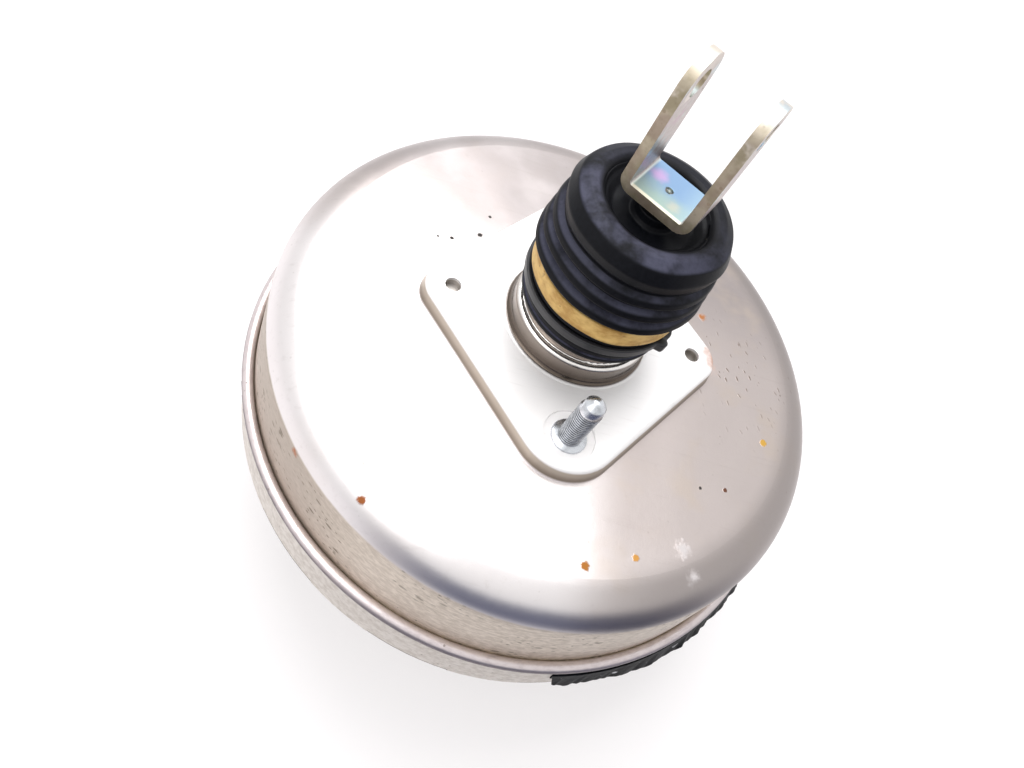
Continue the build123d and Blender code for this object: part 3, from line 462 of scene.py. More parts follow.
@dataclass(frozen=True)
class ShellSheet(Finish):
    """Satin coated sheet of the rear shell, with its stains, painted shade, painted highlights and
    painted reflections.

    Attributes:
        shoulder_z: Height at which the shoulder has turned into the wall.
        face_z: Height of the shell's face in the middle.
        crease_r: Radius beyond which the bead begins.
        bead_low_z: Height below which the bead is skirt.
        cut_z: Height of the skirt's cut edge.
        tab_pitch: Angle from tab to tab, in degrees.
        tab_half: Half a tab's width, in degrees.
        neck_foot_r: Radius of the neck's foot.
        neck_step_z: Height of the neck's step. Not used.
    """

    shoulder_z: float = -22.0
    face_z: float = -6.5
    crease_r: float = 128.0
    bead_low_z: float = -63.0
    cut_z: float = -85.0
    tab_pitch: float = 30.0
    tab_half: float = 6.75
    neck_foot_r: float = 33.9
    neck_step_z: float = 10.0

    def stains(self) -> Tuple[Spot, ...]:
        """The stains that have a place of their own."""
        return (
            Spot(12.4, -103.4, -8.2, 2.1, paint(166, 104, 30)),
            Spot(32.9, -96.0, -8.1, 1.7, paint(194, 140, 66)),
            Spot(94.0, -29.9, -8.1, 2.0, paint(188, 146, 58), 1.1),
            Spot(65.8, 30.5, -7.7, 2.9, paint(172, 112, 66), 1.2, 0.2),
            Spot(-71.4, -95.4, -13.0, 2.3, RUST),
            Spot(-97.4, -77.5, -24.3, 3.0, paint(172, 112, 80), 1.2, 0.2),
            Spot(66.5, 2.0, -1.5, 9.0, paint(188, 150, 134), 1.3, 0.05),
            Spot(-58.1, 31.3, -7.6, 1.1, SOOT),
            Spot(-46.0, 37.9, -7.5, 1.4, SOOT),
            Spot(-42.8, 50.6, -7.6, 0.9, SOOT),
            Spot(-64.3, 30.1, -7.6, 0.7, SOOT),
            Spot(-74.2, -83.3, -9.0, 1.5, paint(186, 178, 172), 1.4, 0.1),
            Spot(73.3, -57.9, -8.0, 1.2, RUST_DARK),
            Spot(61.5, -60.0, -7.9, 0.9, SOOT),
            Spot(-20.5, -26.3, 3.0, 1.6, RUST_DARK, 1.3),
            Spot(53.0, -88.4, -8.2, 4.6, paint(196, 190, 190), 1.6, 0.0),
            Spot(58.0, -98.0, -9.5, 4.0, paint(196, 190, 190), 1.6, 0.0),
        )

    def mix_up(self, sheet: FinishSheet) -> bpy.types.Material:
        """Write the sheet metal's finish.

        Args:
            sheet: The empty sheet.

        Returns:
            The material.
        """
        p = sheet.place()
        out_z = sheet.facing()[2]
        clouds = sheet.noise(p.vector, 70.0, 4.0, 0.6)
        grain = sheet.noise(p.vector, 3.2, 4.0, 0.65)
        fine = sheet.noise(p.vector, 0.5, 2.0, 0.6)
        along = sheet.vector(p.turn * self.crease_r, p.z, p.radius)
        rolled = sheet.noise(p.vector, 2.4, 3.0, 0.6, (14.0, 1.0, 1.0))
        # faces and regions
        wall = p.z.ease(self.shoulder_z + 0.9, self.shoulder_z - 0.9)
        bead = (p.radius.ease(self.crease_r - 0.2, self.crease_r + 0.5)
                * p.z.ease(self.bead_low_z - 1, self.bead_low_z + 0.6))
        skirt = p.radius.over(self.crease_r) * p.z.ease(self.bead_low_z + 0.6, self.bead_low_z - 1)
        neck = p.radius.under(self.neck_foot_r) * p.z.ease(0.1, 0.6)
        plateau = p.z.ease(-2.6, -1.0) * (1.0 - neck)
        rise = p.z - self.face_z + p.radius * 0.016
        side = rise.ease(0.2, 1.4) * p.z.ease(-1.0, -2.2)
        # base colours, with painted shade, painted highlights and painted reflections
        # painted shade: the face darker towards +X, a little less so near the -Y edge
        far = p.x.ease(-2.0, 30.0) * (1.0 - 0.35 * p.y.ease(-80.0, -126.0))
        face = sheet.mix(far, paint(230, 225, 225), paint(190, 180, 177))
        # painted shade: the face darker towards +Y
        face = sheet.mix(p.y.ease(0.0, 56.0) * (0.7 + 0.3 * clouds.ease(0.35, 0.6)), face,
                         paint(166, 157, 156))
        face = sheet.mix(clouds.ease(0.44, 0.70) * 0.5 * (1.0 - far), face, paint(214, 205, 201))
        face = sheet.mix(sheet.noise(p.vector, 24.0, 3.0).ease(0.52, 0.72) * far * 0.5, face,
                         paint(194, 180, 168))
        # painted reflection: the shoulder darker from radius 102 mm outwards, towards +X
        face = sheet.mix(p.radius.ease(102.0, 113.0) * p.x.ease(0.0, 50.0) * 0.75, face,
                         paint(152, 144, 142))
        # painted highlight: the plateau nearly white
        face = sheet.mix(plateau, face, paint(246, 244, 244))
        # painted shade: the plateau's side darker, darkest at its foot
        face = sheet.mix(side, face, sheet.mix(p.z.ease(-2.4, -6.4), paint(180, 169, 156),
                                               paint(130, 118, 106)))
        drawn = sheet.noise(along, 1.5, 4.0, 0.65, (2.4, 1.0, 1.0))
        tint = sheet.mix(wall, face, sheet.mix(drawn.ease(0.35, 0.7), paint(204, 192, 178),
                                               paint(230, 219, 206)))
        tint = sheet.mix(wall * p.x.ease(-50.0, -100.0) * 0.7, tint, paint(158, 145, 134))
        tint = sheet.mix(skirt, tint, sheet.mix(grain.ease(0.3, 0.7), paint(196, 188, 180),
                                                paint(222, 216, 210)))
        # painted light and shade: the bead lighter where it faces up, darker where it faces down
        bead_lit_and_shaded = sheet.mix(out_z.ease(0.10, 0.80), paint(100, 90, 96), paint(216, 206, 206))
        tint = sheet.mix(bead, tint, sheet.mix(drawn.ease(0.4, 0.7) * 0.4, bead_lit_and_shaded,
                                               paint(176, 164, 166)))
        # painted shade: the neck darker towards its foot; painted highlight: a white ring where its
        # step faces up
        neck_shaded = sheet.mix(p.z.ease(1.0, 12.0), paint(96, 86, 78), paint(146, 136, 128))
        tint = sheet.mix(neck, tint, sheet.mix(out_z.ease(0.3, 0.8) * p.z.ease(6.0, 9.0), neck_shaded,
                                               paint(240, 236, 232)))
        tint = sheet.mix(rolled.ease(0.56, 0.78) * 0.12, tint, paint(150, 140, 134))
        tint = sheet.mix(grain.ease(0.55, 0.8) * 0.12 * (1.0 - plateau), tint, paint(146, 134, 122))
        # mottles on the wall, longer round than high
        mottle = sheet.flecks(along, 3.4, 0.42, 0.32, (2.2, 0.9, 1.0)).larger(
            sheet.flecks(along, 1.6, 0.34, 0.36, (2.0, 0.9, 1.0)))
        patch = sheet.noise(along, 30.0, 2.0).ease(0.42, 0.62)
        mottle = mottle * wall * patch * (1.0 - bead) * (1.0 - skirt * 0.7) * 0.75
        tint = sheet.mix(mottle, tint, paint(112, 99, 84))
        # specks and short scratches
        litter = sheet.near(Spot(82.0, 4.0, -8.0, 44.0, SOOT, 0.7, 0.1), p)
        thick = (0.14 + 0.5 * (skirt + wall).smaller(1.0) + litter).smaller(1.0)
        specks = sheet.flecks(p.vector, 4.2, 0.16, 0.15) * thick * (1.0 - plateau)
        strewn = sheet.vector(p.x * 0.79 + p.y * 0.61, p.y * 0.79 - p.x * 0.61, clouds * 40.0)
        crossed = sheet.vector(p.x * 0.31 - p.y * 0.95, p.y * 0.31 + p.x * 0.95, clouds * 30.0)
        strokes = (sheet.flecks(strewn, 2.8, 0.16, 0.30, (0.6, 1.9, 1.0)).larger(
            sheet.flecks(crossed, 3.1, 0.16, 0.30, (2.0, 0.6, 1.0))) * litter * (1.0 - plateau)
                   * (1.0 - wall))
        specks = specks.larger(strokes) * 0.85
        tint = sheet.mix(specks, tint, paint(92, 76, 62))
        # painted shade in the crease, and a painted shadow on the cut edge between the tabs
        crease = ((p.radius - (self.crease_r - 0.35)).between(-0.15, 0.15, 0.35)
                  * p.z.between(-59.6, -58.8, 0.4))
        tint = sheet.mix(crease * 0.4, tint, paint(70, 58, 52))
        degrees = p.turn * (180 / math.pi) + 90.0
        half_pitch = self.tab_pitch / 2
        tab = abs((degrees + half_pitch) % self.tab_pitch - half_pitch).under(self.tab_half)
        # painted shadow along the skirt's cut edge between the tabs
        cut = p.z.ease(self.cut_z + 0.9, self.cut_z + 0.3) * skirt * (1.0 - tab)
        tint = sheet.mix(cut * (0.6 + 0.4 * grain.ease(0.4, 0.6)), tint, paint(52, 36, 26))
        # rust also takes the painted shade of the crease and the painted shadow of the cut edge
        rust = specks * 0.6 + mottle * 0.5 + cut * 0.6 + crease * 0.4
        for spot in self.stains():
            here = sheet.near(spot, p)
            tint = sheet.mix(here, tint, spot.colour)
            rust = rust.larger(here)
        rust = rust.smaller(1.0)
        metal = 0.95 - 0.80 * rust - 0.55 * plateau - 0.30 * side - 0.15 * wall
        roughness = (0.30 + 0.08 * grain + 0.12 * wall + 0.06 * skirt - 0.12 * bead - 0.12 * neck
                     + 0.16 * plateau + 0.35 * rust)
        height = (0.010 * fine + 0.035 * grain
                  + 0.9 * sheet.noise(p.vector, 46.0, 1.0) * (1.0 - neck) + 0.12 * rust)
        return sheet.surface({"Base Color": tint, "Metallic": metal, "Roughness": roughness,
                              "Normal": sheet.bump(height)})


@dataclass(frozen=True)
class PlainSheet(Finish):
    """Satin coated sheet without the rear shell's stains.

    Attributes:
        light: Lighter tone.
        dark: Darker tone.
    """

    light: Colour = paint(214, 208, 202)
    dark: Colour = paint(192, 183, 172)

    def mix_up(self, sheet: FinishSheet) -> bpy.types.Material:
        """Write the plain sheet's finish.

        Args:
            sheet: The empty sheet.

        Returns:
            The material.
        """
        p = sheet.place()
        clouds = sheet.noise(p.vector, 48.0, 4.0, 0.6).ease(0.36, 0.66)
        grain = sheet.noise(p.vector, 3.0, 4.0, 0.65)
        specks = sheet.flecks(p.vector, 4.2, 0.10, 0.12)
        tint = sheet.mix(clouds, self.dark, self.light)
        tint = sheet.mix(grain.ease(0.5, 0.8) * 0.2, tint, paint(150, 138, 124))
        tint = sheet.mix(specks * 0.7, tint, paint(96, 80, 66))
        height = 0.035 * grain + 0.010 * sheet.noise(p.vector, 0.5, 2.0)
        return sheet.surface({"Base Color": tint, "Metallic": 0.95 - 0.6 * specks,
                              "Roughness": 0.34 + 0.12 * grain + 0.2 * specks,
                              "Normal": sheet.bump(height)})


@dataclass(frozen=True)
class PassivatedSteel(Finish):
    """Zinc plated steel of the clevis, with rainbow tints on its floor and painted highlights on
    its edges and ear ends.

    Attributes:
        pin_turn: Direction of the clevis pin from +X, in degrees.
        floor_z: Height of the clevis floor, in mm.
        tip_z: Height of the ears' ends, in mm.
    """

    pin_turn: float = -31.7
    floor_z: float = 80.5
    tip_z: float = 132.0

    def mix_up(self, sheet: FinishSheet) -> bpy.types.Material:
        """Write the plated steel's finish.

        Args:
            sheet: The empty sheet.

        Returns:
            The material.
        """
        p = sheet.place()
        out_x, out_y, _ = sheet.facing()
        a = math.radians(self.pin_turn)
        broad = abs(out_x * math.cos(a) + out_y * math.sin(a))
        cut = abs(out_x * -math.sin(a) + out_y * math.cos(a))
        across = p.x * math.cos(a) + p.y * math.sin(a)
        deep = p.y * math.cos(a) - p.x * math.sin(a)
        clouds = sheet.noise(p.vector, 9.0, 3.0, 0.6)
        grain = sheet.noise(p.vector, 1.6, 4.0, 0.65)
        # rainbow tints of the floor: blue behind, green towards the front, one pink cloud
        drift = deep + (clouds - 0.5) * 9.0
        film = sheet.mix(drift.ease(3.0, -9.0), paint(138, 168, 202), paint(168, 190, 182))
        film = sheet.mix(across.ease(2.0, 12.0) * 0.5, film, paint(176, 204, 216))
        pink = sheet.near(Spot(*self.floor_point(-6.4, 3.4), 5.0, SOOT, 0.5, 0.1), p)
        film = sheet.mix(pink * 0.85, film, paint(206, 170, 214))
        straw = sheet.near(Spot(*self.floor_point(5.0, -5.5), 4.0, SOOT, 0.9, 0.1), p)
        film = sheet.mix(straw * 0.4, film, paint(222, 206, 178))
        # painted highlights along the floor's front edge and along its end on the negative pin side
        film = sheet.mix(deep.ease(-8.7, -9.6), film, paint(252, 248, 226))
        film = sheet.mix(across.ease(-9.6, -10.6) * 0.7, film, paint(232, 236, 226))
        ear = sheet.mix(grain.ease(0.30, 0.75), paint(176, 164, 158), paint(206, 196, 194))
        ear = sheet.mix(clouds.ease(0.52, 0.74) * 0.6, ear, paint(190, 156, 172))
        ear = sheet.mix(sheet.noise(p.vector, 13.0, 2.0).ease(0.50, 0.66) * 0.6, ear,
                        paint(206, 222, 224))
        edge = sheet.mix(clouds.ease(0.36, 0.64), paint(168, 157, 132), paint(196, 184, 162))
        edge = sheet.mix(grain.ease(0.5, 0.75) * 0.30, edge, paint(134, 120, 100))
        edge = sheet.mix(sheet.noise(p.vector, 14.0, 2.0).ease(0.48, 0.62) * 0.4, edge,
                         paint(150, 124, 118))
        tint = sheet.mix(broad.ease(0.3, 0.8), film, ear)
        tint = sheet.mix(cut.ease(0.5, 0.85), tint, edge)
        stain = (sheet.flecks(p.vector, 3.0, 0.12, 0.26)
                 * p.z.ease(self.floor_z + 4, self.floor_z + 14))
        tint = sheet.mix(stain * 0.35, tint, paint(112, 84, 58))
        # painted highlights: the ears lighter towards their ends, and a painted glint band below
        # that
        tip = p.z.ease(self.tip_z - 9.0, self.tip_z - 1.5)
        tint = sheet.mix(tip * (0.45 + 0.5 * clouds.ease(0.4, 0.6)), tint, paint(224, 214, 202))
        glint = p.z.between(self.tip_z - 15.0, self.tip_z - 11.0, 2.0) * clouds.ease(0.44, 0.56)
        tint = sheet.mix(glint * 0.6, tint, paint(240, 232, 222))
        # punched mark in the middle of the floor
        centre = sheet.near(Spot(0.0, 0.0, self.floor_z, 1.9, SOOT, 0.1, 0.8), p)
        inner = sheet.near(Spot(0.0, 0.0, self.floor_z, 1.3, SOOT, 0.1, 0.8), p)
        ring = (centre - inner) * deep.ease(-0.4, 0.5).larger(deep.ease(-0.9, -1.4))
        tint = sheet.mix(inner * 0.5, tint, paint(228, 232, 206))
        tint = sheet.mix(ring * 0.8, tint, paint(82, 96, 84))
        height = 0.012 * grain + 0.008 * sheet.noise(p.vector, 0.4, 2.0) - 0.12 * ring
        return sheet.surface({"Base Color": tint, "Metallic": 0.90 - 0.4 * stain,
                              "Roughness": 0.32 + 0.14 * grain + 0.12 * cut + 0.2 * stain,
                              "Normal": sheet.bump(height)})

    def floor_point(self, across: float, deep: float) -> Triple:
        """A place on the clevis floor.

        Args:
            across: Distance along the pin from the middle, in mm.
            deep: Distance square to it, in mm.

        Returns:
            The place in the row frame, in mm.
        """
        a = math.radians(self.pin_turn)
        return (across * math.cos(a) - deep * math.sin(a),
                across * math.sin(a) + deep * math.cos(a), self.floor_z)


@dataclass(frozen=True)
class BrightSteel(Finish):
    """Bright zinc on turned and drawn steel.

    Attributes:
        light: The clean tone.
        dark: The tone of oil and dust in low places.
        grime: How much of the dark tone shows.
        thread: The studs' distance from the axis, their radius and the height at which
            their thread ends, or noughts where there is no thread.
    """

    light: Colour = paint(214, 217, 222)
    dark: Colour = paint(120, 120, 122)
    grime: float = 0.45
    thread: Triple = (0.0, 0.0, 0.0)

    def mix_up(self, sheet: FinishSheet) -> bpy.types.Material:
        """Write the bright steel's finish.

        Args:
            sheet: The empty sheet.

        Returns:
            The material.
        """
        p = sheet.place()
        clouds = sheet.noise(p.vector, 4.0, 3.0, 0.6).ease(0.45, 0.72)
        grain = sheet.noise(p.vector, 0.7, 3.0, 0.6)
        tint = sheet.mix(clouds * self.grime, self.light, self.dark)
        tint = sheet.mix(sheet.flecks(p.vector, 1.8, 0.10, 0.22) * 0.6, tint, paint(110, 86, 64))
        pitch_r, crest, end_z = self.thread
        if crest:
            # painted shade in the thread's roots
            off = ((abs(p.y) - pitch_r) ** 2.0 + p.x * p.x) ** 0.5
            tint = sheet.mix(off.ease(crest - 0.08, crest - 0.42) * abs(p.z).under(end_z), tint,
                             paint(46, 49, 58))
        return sheet.surface({"Base Color": tint, "Metallic": 0.97,
                              "Roughness": 0.20 + 0.14 * grain + 0.10 * clouds,
                              "Normal": sheet.bump(0.02 * grain)})


# ------------------------------------------------------------------ rubber, plastic and foam
@dataclass(frozen=True)
class BootRubber(Finish):
    """Black moulded rubber, dusty on its top roll, with a painted sheen there.

    Attributes:
        recess_r: Radius of the recess, in which no dust lies.
        dots: Pale flecks of dirt that have a place of their own.
    """

    recess_r: float = 22.0
    dots: Tuple[Spot, ...] = ()

    def mix_up(self, sheet: FinishSheet) -> bpy.types.Material:
        """Write the rubber's finish.

        Args:
            sheet: The empty sheet.

        Returns:
            The material.
        """
        p = sheet.place()
        up = sheet.facing()[2]
        clouds = sheet.noise(p.vector, 16.0, 4.0, 0.6)
        grain = sheet.noise(p.vector, 1.4, 4.0, 0.7)
        roll = p.radius.ease(self.recess_r - 0.6, self.recess_r + 2.4)
        # painted sheen on the roll, strongest towards -Y and -X, laid over the dust on its upward
        # faces
        sheen_side = (p.y * -0.9 - p.x * 0.5).ease(-22.0, 24.0)
        dust_and_sheen = (up.ease(0.45, 0.98) * roll * (0.12 + 0.88 * sheen_side) * clouds.ease(0.30, 0.58)
                * (0.55 + 0.45 * grain))
        tint = sheet.mix(grain.ease(0.3, 0.7), paint(11, 12, 16), paint(17, 18, 23))
        # bluish grey of the dust and of the painted sheen
        tint = sheet.mix(dust_and_sheen * 0.9, tint, paint(86, 87, 106))
        crumbs = sheet.flecks(p.vector, 3.1, 0.10, 0.12) * (0.3 + 0.7 * up.ease(0.0, 0.8))
        tint = sheet.mix(crumbs * 0.35, tint, paint(126, 120, 108))
        dry = crumbs
        for spot in self.dots:
            here = sheet.near(spot, p)
            tint = sheet.mix(here, tint, spot.colour)
            dry = dry.larger(here)
        height = (0.030 * grain + 0.012 * sheet.noise(p.vector, 0.35, 2.0)
                  + 0.25 * sheet.noise(p.vector, 12.0, 2.0) + 0.1 * dry)
        return sheet.surface({"Base Color": tint, "Metallic": 0.0, "Specular IOR Level": 0.12,
                              "Roughness": 0.36 + 0.16 * grain + 0.16 * dust_and_sheen + 0.2 * dry,
                              "Normal": sheet.bump(height)})


@dataclass(frozen=True)
class Moulding(Finish):
    """Moulded rubber or plastic in one colour, with its grain.

    Attributes:
        light: Lighter tone.
        dark: Darker tone.
        size: Size of the grain, in mm.
        gloss: Roughness of the clean surface.
        depth: Height of the grain, in mm.
    """

    light: Colour = paint(46, 46, 48)
    dark: Colour = paint(30, 30, 32)
    size: float = 0.6
    gloss: float = 0.42
    depth: float = 0.02

    def mix_up(self, sheet: FinishSheet) -> bpy.types.Material:
        """Write the moulding's finish.

        Args:
            sheet: The empty sheet.

        Returns:
            The material.
        """
        p = sheet.place()
        grain = sheet.noise(p.vector, self.size, 3.0, 0.6)
        clouds = sheet.noise(p.vector, self.size * 14, 3.0, 0.6)
        tint = sheet.mix(clouds.ease(0.35, 0.68), self.dark, self.light)
        tint = sheet.mix(sheet.flecks(p.vector, 2.6, 0.08, 0.12) * 0.5, tint, paint(120, 112, 100))
        return sheet.surface({"Base Color": tint, "Metallic": 0.0,
                              "Roughness": self.gloss + 0.14 * grain,
                              "Normal": sheet.bump(self.depth * grain)})


@dataclass(frozen=True)
class WrappedTape(Finish):
    """Yellow brown tape, mottled by age and glue.

    Attributes:
        low_z: Height of the tape's lower edge, in mm.
        high_z: Height of its upper edge, in mm.
    """

    low_z: float = 31.0
    high_z: float = 39.0

    def mix_up(self, sheet: FinishSheet) -> bpy.types.Material:
        """Write the tape's finish.

        Args:
            sheet: The empty sheet.

        Returns:
            The material.
        """
        p = sheet.place()
        along = sheet.vector(p.turn * 32.0, p.z, 0.0)
        clouds = sheet.noise(along, 7.0, 4.0, 0.62, (1.6, 1.0, 1.0))
        grain = sheet.noise(along, 1.3, 4.0, 0.7)
        tint = sheet.mix(clouds.ease(0.36, 0.60), paint(176, 134, 64), paint(212, 176, 104))
        tint = sheet.mix(clouds.ease(0.58, 0.76) * 0.8, tint, paint(228, 204, 150))
        blot = sheet.noise(along, 4.2, 3.0, 0.6, (1.0, 1.6, 1.0)).ease(0.60, 0.72)
        tint = sheet.mix(blot * 0.8, tint, paint(140, 98, 42))
        upper = p.z.ease(self.high_z - 1.0, self.high_z)
        edge = p.z.ease(self.low_z + 1.2, self.low_z).larger(upper)
        tint = sheet.mix(edge * 0.5, tint, paint(96, 74, 40))
        tint = sheet.mix(sheet.flecks(along, 2.2, 0.16, 0.2) * 0.6, tint, paint(84, 62, 34))
        return sheet.surface({"Base Color": tint, "Metallic": 0.0, "Roughness": 0.40 + 0.25 * grain,
                              "Normal": sheet.bump(0.05 * grain + 0.12 * clouds)})


@dataclass(frozen=True)
class ShadowFilmFinish(Finish):
    """Black sheet standing in for the skirt's deep shadow, a painted shadow, with places where bare
    metal shows.

    Attributes:
        bare: Places where the black has gone.
    """

    bare: Tuple[Spot, ...] = ()

    def mix_up(self, sheet: FinishSheet) -> bpy.types.Material:
        """Write the film's finish.

        Args:
            sheet: The empty sheet.

        Returns:
            The material.
        """
        p = sheet.place()
        grain = sheet.noise(p.vector, 1.1, 4.0, 0.7)
        clouds = sheet.noise(p.vector, 9.0, 3.0, 0.6)
        tint = sheet.mix(clouds.ease(0.4, 0.7), paint(8, 9, 12), paint(18, 20, 26))
        shine: Number = 0.0
        for spot in self.bare:
            here = sheet.near(spot, p)
            tint = sheet.mix(here, tint, spot.colour)
            shine = here + shine
        flakes = sheet.flecks(p.vector, 2.8, 0.10, 0.2)
        tint = sheet.mix(flakes * 0.6, tint, paint(132, 132, 138))
        metal = (flakes * 0.4 + shine).smaller(1.0)
        height = 0.06 * grain + 0.3 * sheet.noise(p.vector, 5.0, 3.0)
        return sheet.surface({"Base Color": tint, "Metallic": metal * 0.8,
                              "Specular IOR Level": 0.03,
                              "Roughness": 0.34 + 0.22 * grain, "Normal": sheet.bump(height)})


@dataclass(frozen=True)
class OpenFoam(Finish):
    """Foam or felt, full of small hollows.

    Attributes:
        light: Tone of the ridges.
        dark: Tone of the hollows.
        size: Size of a hollow, in mm.
    """

    light: Colour = paint(92, 92, 90)
    dark: Colour = paint(40, 40, 40)
    size: float = 0.9

    def mix_up(self, sheet: FinishSheet) -> bpy.types.Material:
        """Write the foam's finish.

        Args:
            sheet: The empty sheet.

        Returns:
            The material.
        """
        p = sheet.place()
        node = sheet.node("ShaderNodeTexVoronoi", {"feature": "F1"},
                          {"Vector": p.vector, "Scale": 1 / self.size})
        cell = Sock(sheet, node.outputs["Distance"])
        # painted shade: darker in the hollows
        tint = sheet.mix(cell.ease(0.1, 0.7), self.dark, self.light)
        return sheet.surface({"Base Color": tint, "Metallic": 0.0, "Roughness": 0.85 + 0.1 * cell,
                              "Normal": sheet.bump(cell * self.size * 0.4)})


@dataclass(frozen=True)
class FloorPaper(Finish):
    """White paper under the booster, dim in reflections where the window's light doesn't reach.

    Attributes:
        swing: Direction of the dim part of the room, in degrees from -Y.
        dim: How the paper looks there in reflections.
    """

    swing: float = 16.0
    dim: Colour = paint(76, 82, 112)

    def mix_up(self, sheet: FinishSheet) -> bpy.types.Material:
        """Write the paper's finish.

        Args:
            sheet: The empty sheet.

        Returns:
            The material.
        """
        p = sheet.place()
        path = sheet.node("ShaderNodeLightPath")
        seen = Sock(sheet, path.outputs["Is Camera Ray"])
        mirrored = Sock(sheet, path.outputs["Is Glossy Ray"])
        a = math.radians(self.swing - 90)
        ahead = (p.x * math.cos(a) + p.y * math.sin(a)) / p.radius
        shade = mirrored * p.radius.ease(180.0, 330.0) * ahead.ease(*DIM_FADE)
        white = sheet.mix(sheet.noise(p.vector, 240.0, 2.0), paint(252, 249, 250),
                          paint(253, 251, 252))
        tint = sheet.mix(seen.larger(mirrored) * 0.55, white, BLACK)
        tint = sheet.mix(shade, tint, BLACK)
        glow = sheet.mix(seen.larger(mirrored), BLACK, (0.56, 0.55, 0.555, 1.0))
        glow = sheet.mix(shade, glow, self.dim)
        return sheet.surface({"Base Color": tint, "Metallic": 0.0, "Roughness": 0.9,
                              "Specular IOR Level": 0.1,
                              "Emission Color": glow, "Emission Strength": 1.0})


# ------------------------------------------------------------------ mesh helpers
def rounded(outline: Sequence[Point], radii: Dict[int, float], steps: int = 5,
            closed: bool = False) -> List[Point]:
    """An outline with some of its corners turned into arcs.

    Args:
        outline: The corners, in mm.
        radii: Corner number and radius, in mm.
        steps: Points on each arc, less one.
        closed: Whether the last corner joins the first.

    Returns:
        The outline with its arcs.
    """
    count = len(outline)
    made: List[Point] = []
    for i, corner in enumerate(outline):
        radius = radii.get(i, 0.0)
        if not radius or (not closed and i in (0, count - 1)):
            made.append(corner)
            continue
        here = np.array(corner, float)
        back = np.array(outline[i - 1], float) - here
        ahead = np.array(outline[(i + 1) % count], float) - here
        reach = 0.48 * min(np.hypot(*back), np.hypot(*ahead))
        back, ahead = back / np.hypot(*back), ahead / np.hypot(*ahead)
        half = 0.5 * math.acos(float(np.clip(back @ ahead, -1.0, 1.0)))
        run = min(radius / math.tan(half), reach)
        middle = here + (back + ahead) / np.hypot(*(back + ahead)) * run / math.cos(half)
        first, last = here + back * run - middle, here + ahead * run - middle
        start = math.atan2(first[1], first[0])
        sweep = (math.atan2(last[1], last[0]) - start + math.pi) % (2 * math.pi) - math.pi
        size = float(np.hypot(*first))
        for k in range(steps + 1):
            angle = start + sweep * k / steps
            made.append((middle[0] + size * math.cos(angle), middle[1] + size * math.sin(angle)))
    return made


def refined(outline: Sequence[Point], step: float, closed: bool = False) -> List[Point]:
    """An outline with no run longer than a step.

    Args:
        outline: The points, in mm.
        step: The longest run, in mm.
        closed: Whether the last point joins the first.

    Returns:
        The outline with more points.
    """
    made: List[Point] = []
    ends = list(outline[1:]) + ([outline[0]] if closed else [])
    for start, end in zip(outline, ends):
        parts = max(1, math.ceil(math.dist(start, end) / step))
        made += [(start[0] + (end[0] - start[0]) * k / parts,
                  start[1] + (end[1] - start[1]) * k / parts)
                 for k in range(parts)]
    return made if closed else made + [tuple(outline[-1])]


def ripple(turn: np.ndarray, height: np.ndarray, seed: int, waves: int = 9,
           reach: float = 0.25) -> np.ndarray:
    """Gentle unevenness round a turned piece.

    Args:
        turn: Angles, in radians.
        height: Heights, in mm.
        seed: Which unevenness.
        waves: How many waves are laid over each other.
        reach: How fast it changes with height, per mm.

    Returns:
        Numbers around nought, about one in size.
    """
    draw = np.random.default_rng(seed)
    total = np.zeros(np.broadcast(turn, height).shape)
    for _ in range(waves):
        round_it = int(draw.integers(1, 9))
        total = total + np.sin(turn * round_it + height * draw.uniform(-reach, reach)
                               + draw.uniform(0, 2 * math.pi)) / waves ** 0.5
    return total


def grid_faces(rows: int, columns: int, rows_join: bool,
               columns_join: bool) -> List[Tuple[int, int, int, int]]:
    """Faces between the points of a grid.

    Args:
        rows: How many rows.
        columns: How many points in each.
        rows_join: Whether the last row joins the first.
        columns_join: Whether each row closes on itself.

    Returns:
        The faces.
    """
    faces = []
    for i in range(rows if rows_join else rows - 1):
        for j in range(columns if columns_join else columns - 1):
            k, m = (i + 1) % rows, (j + 1) % columns
            faces.append((i * columns + j, i * columns + m, k * columns + m, k * columns + j))
    return faces


def mesh_piece(name: str, points: np.ndarray, faces: Sequence[Sequence[int]],
               finish: Finish) -> bpy.types.Object:
    """A smooth mesh in the row frame.

    Args:
        name: The piece's name.
        points: Its points, in mm.
        faces: Its faces.
        finish: Its finish.

    Returns:
        The piece.
    """
    mesh = bpy.data.meshes.new(name)
    mesh.from_pydata((np.asarray(points, float) * MM).tolist(), [], [list(f) for f in faces])
    mesh.update()
    mesh.shade_smooth()
    mesh.materials.append(finish.material())
    piece = bpy.data.objects.new(name, mesh)
    bpy.context.scene.collection.objects.link(piece)
    return piece


def turned_points(outline: Sequence[Point], columns: int, centre: Point = (0.0, 0.0),
                  warp: Optional[Warp] = None) -> np.ndarray:
    """Points of an outline turned about an upright line.

    Args:
        outline: Radius and height of each row, in mm.
        columns: Points round it.
        centre: Where the line stands, in mm.
        warp: Changes radius and height; it is given angle, radius and height.

    Returns:
        The points, row after row.
    """
    profile = np.array(outline, float)
    turn = np.linspace(0, 2 * math.pi, columns, endpoint=False)[None, :]
    radius = np.repeat(profile[:, :1], columns, 1)
    height = np.repeat(profile[:, 1:], columns, 1)
    if warp:
        radius, height = warp(turn, radius, height)
    x, y = radius * np.cos(turn) + centre[0], radius * np.sin(turn) + centre[1]
    return np.stack([x, y, height], -1).reshape(-1, 3)


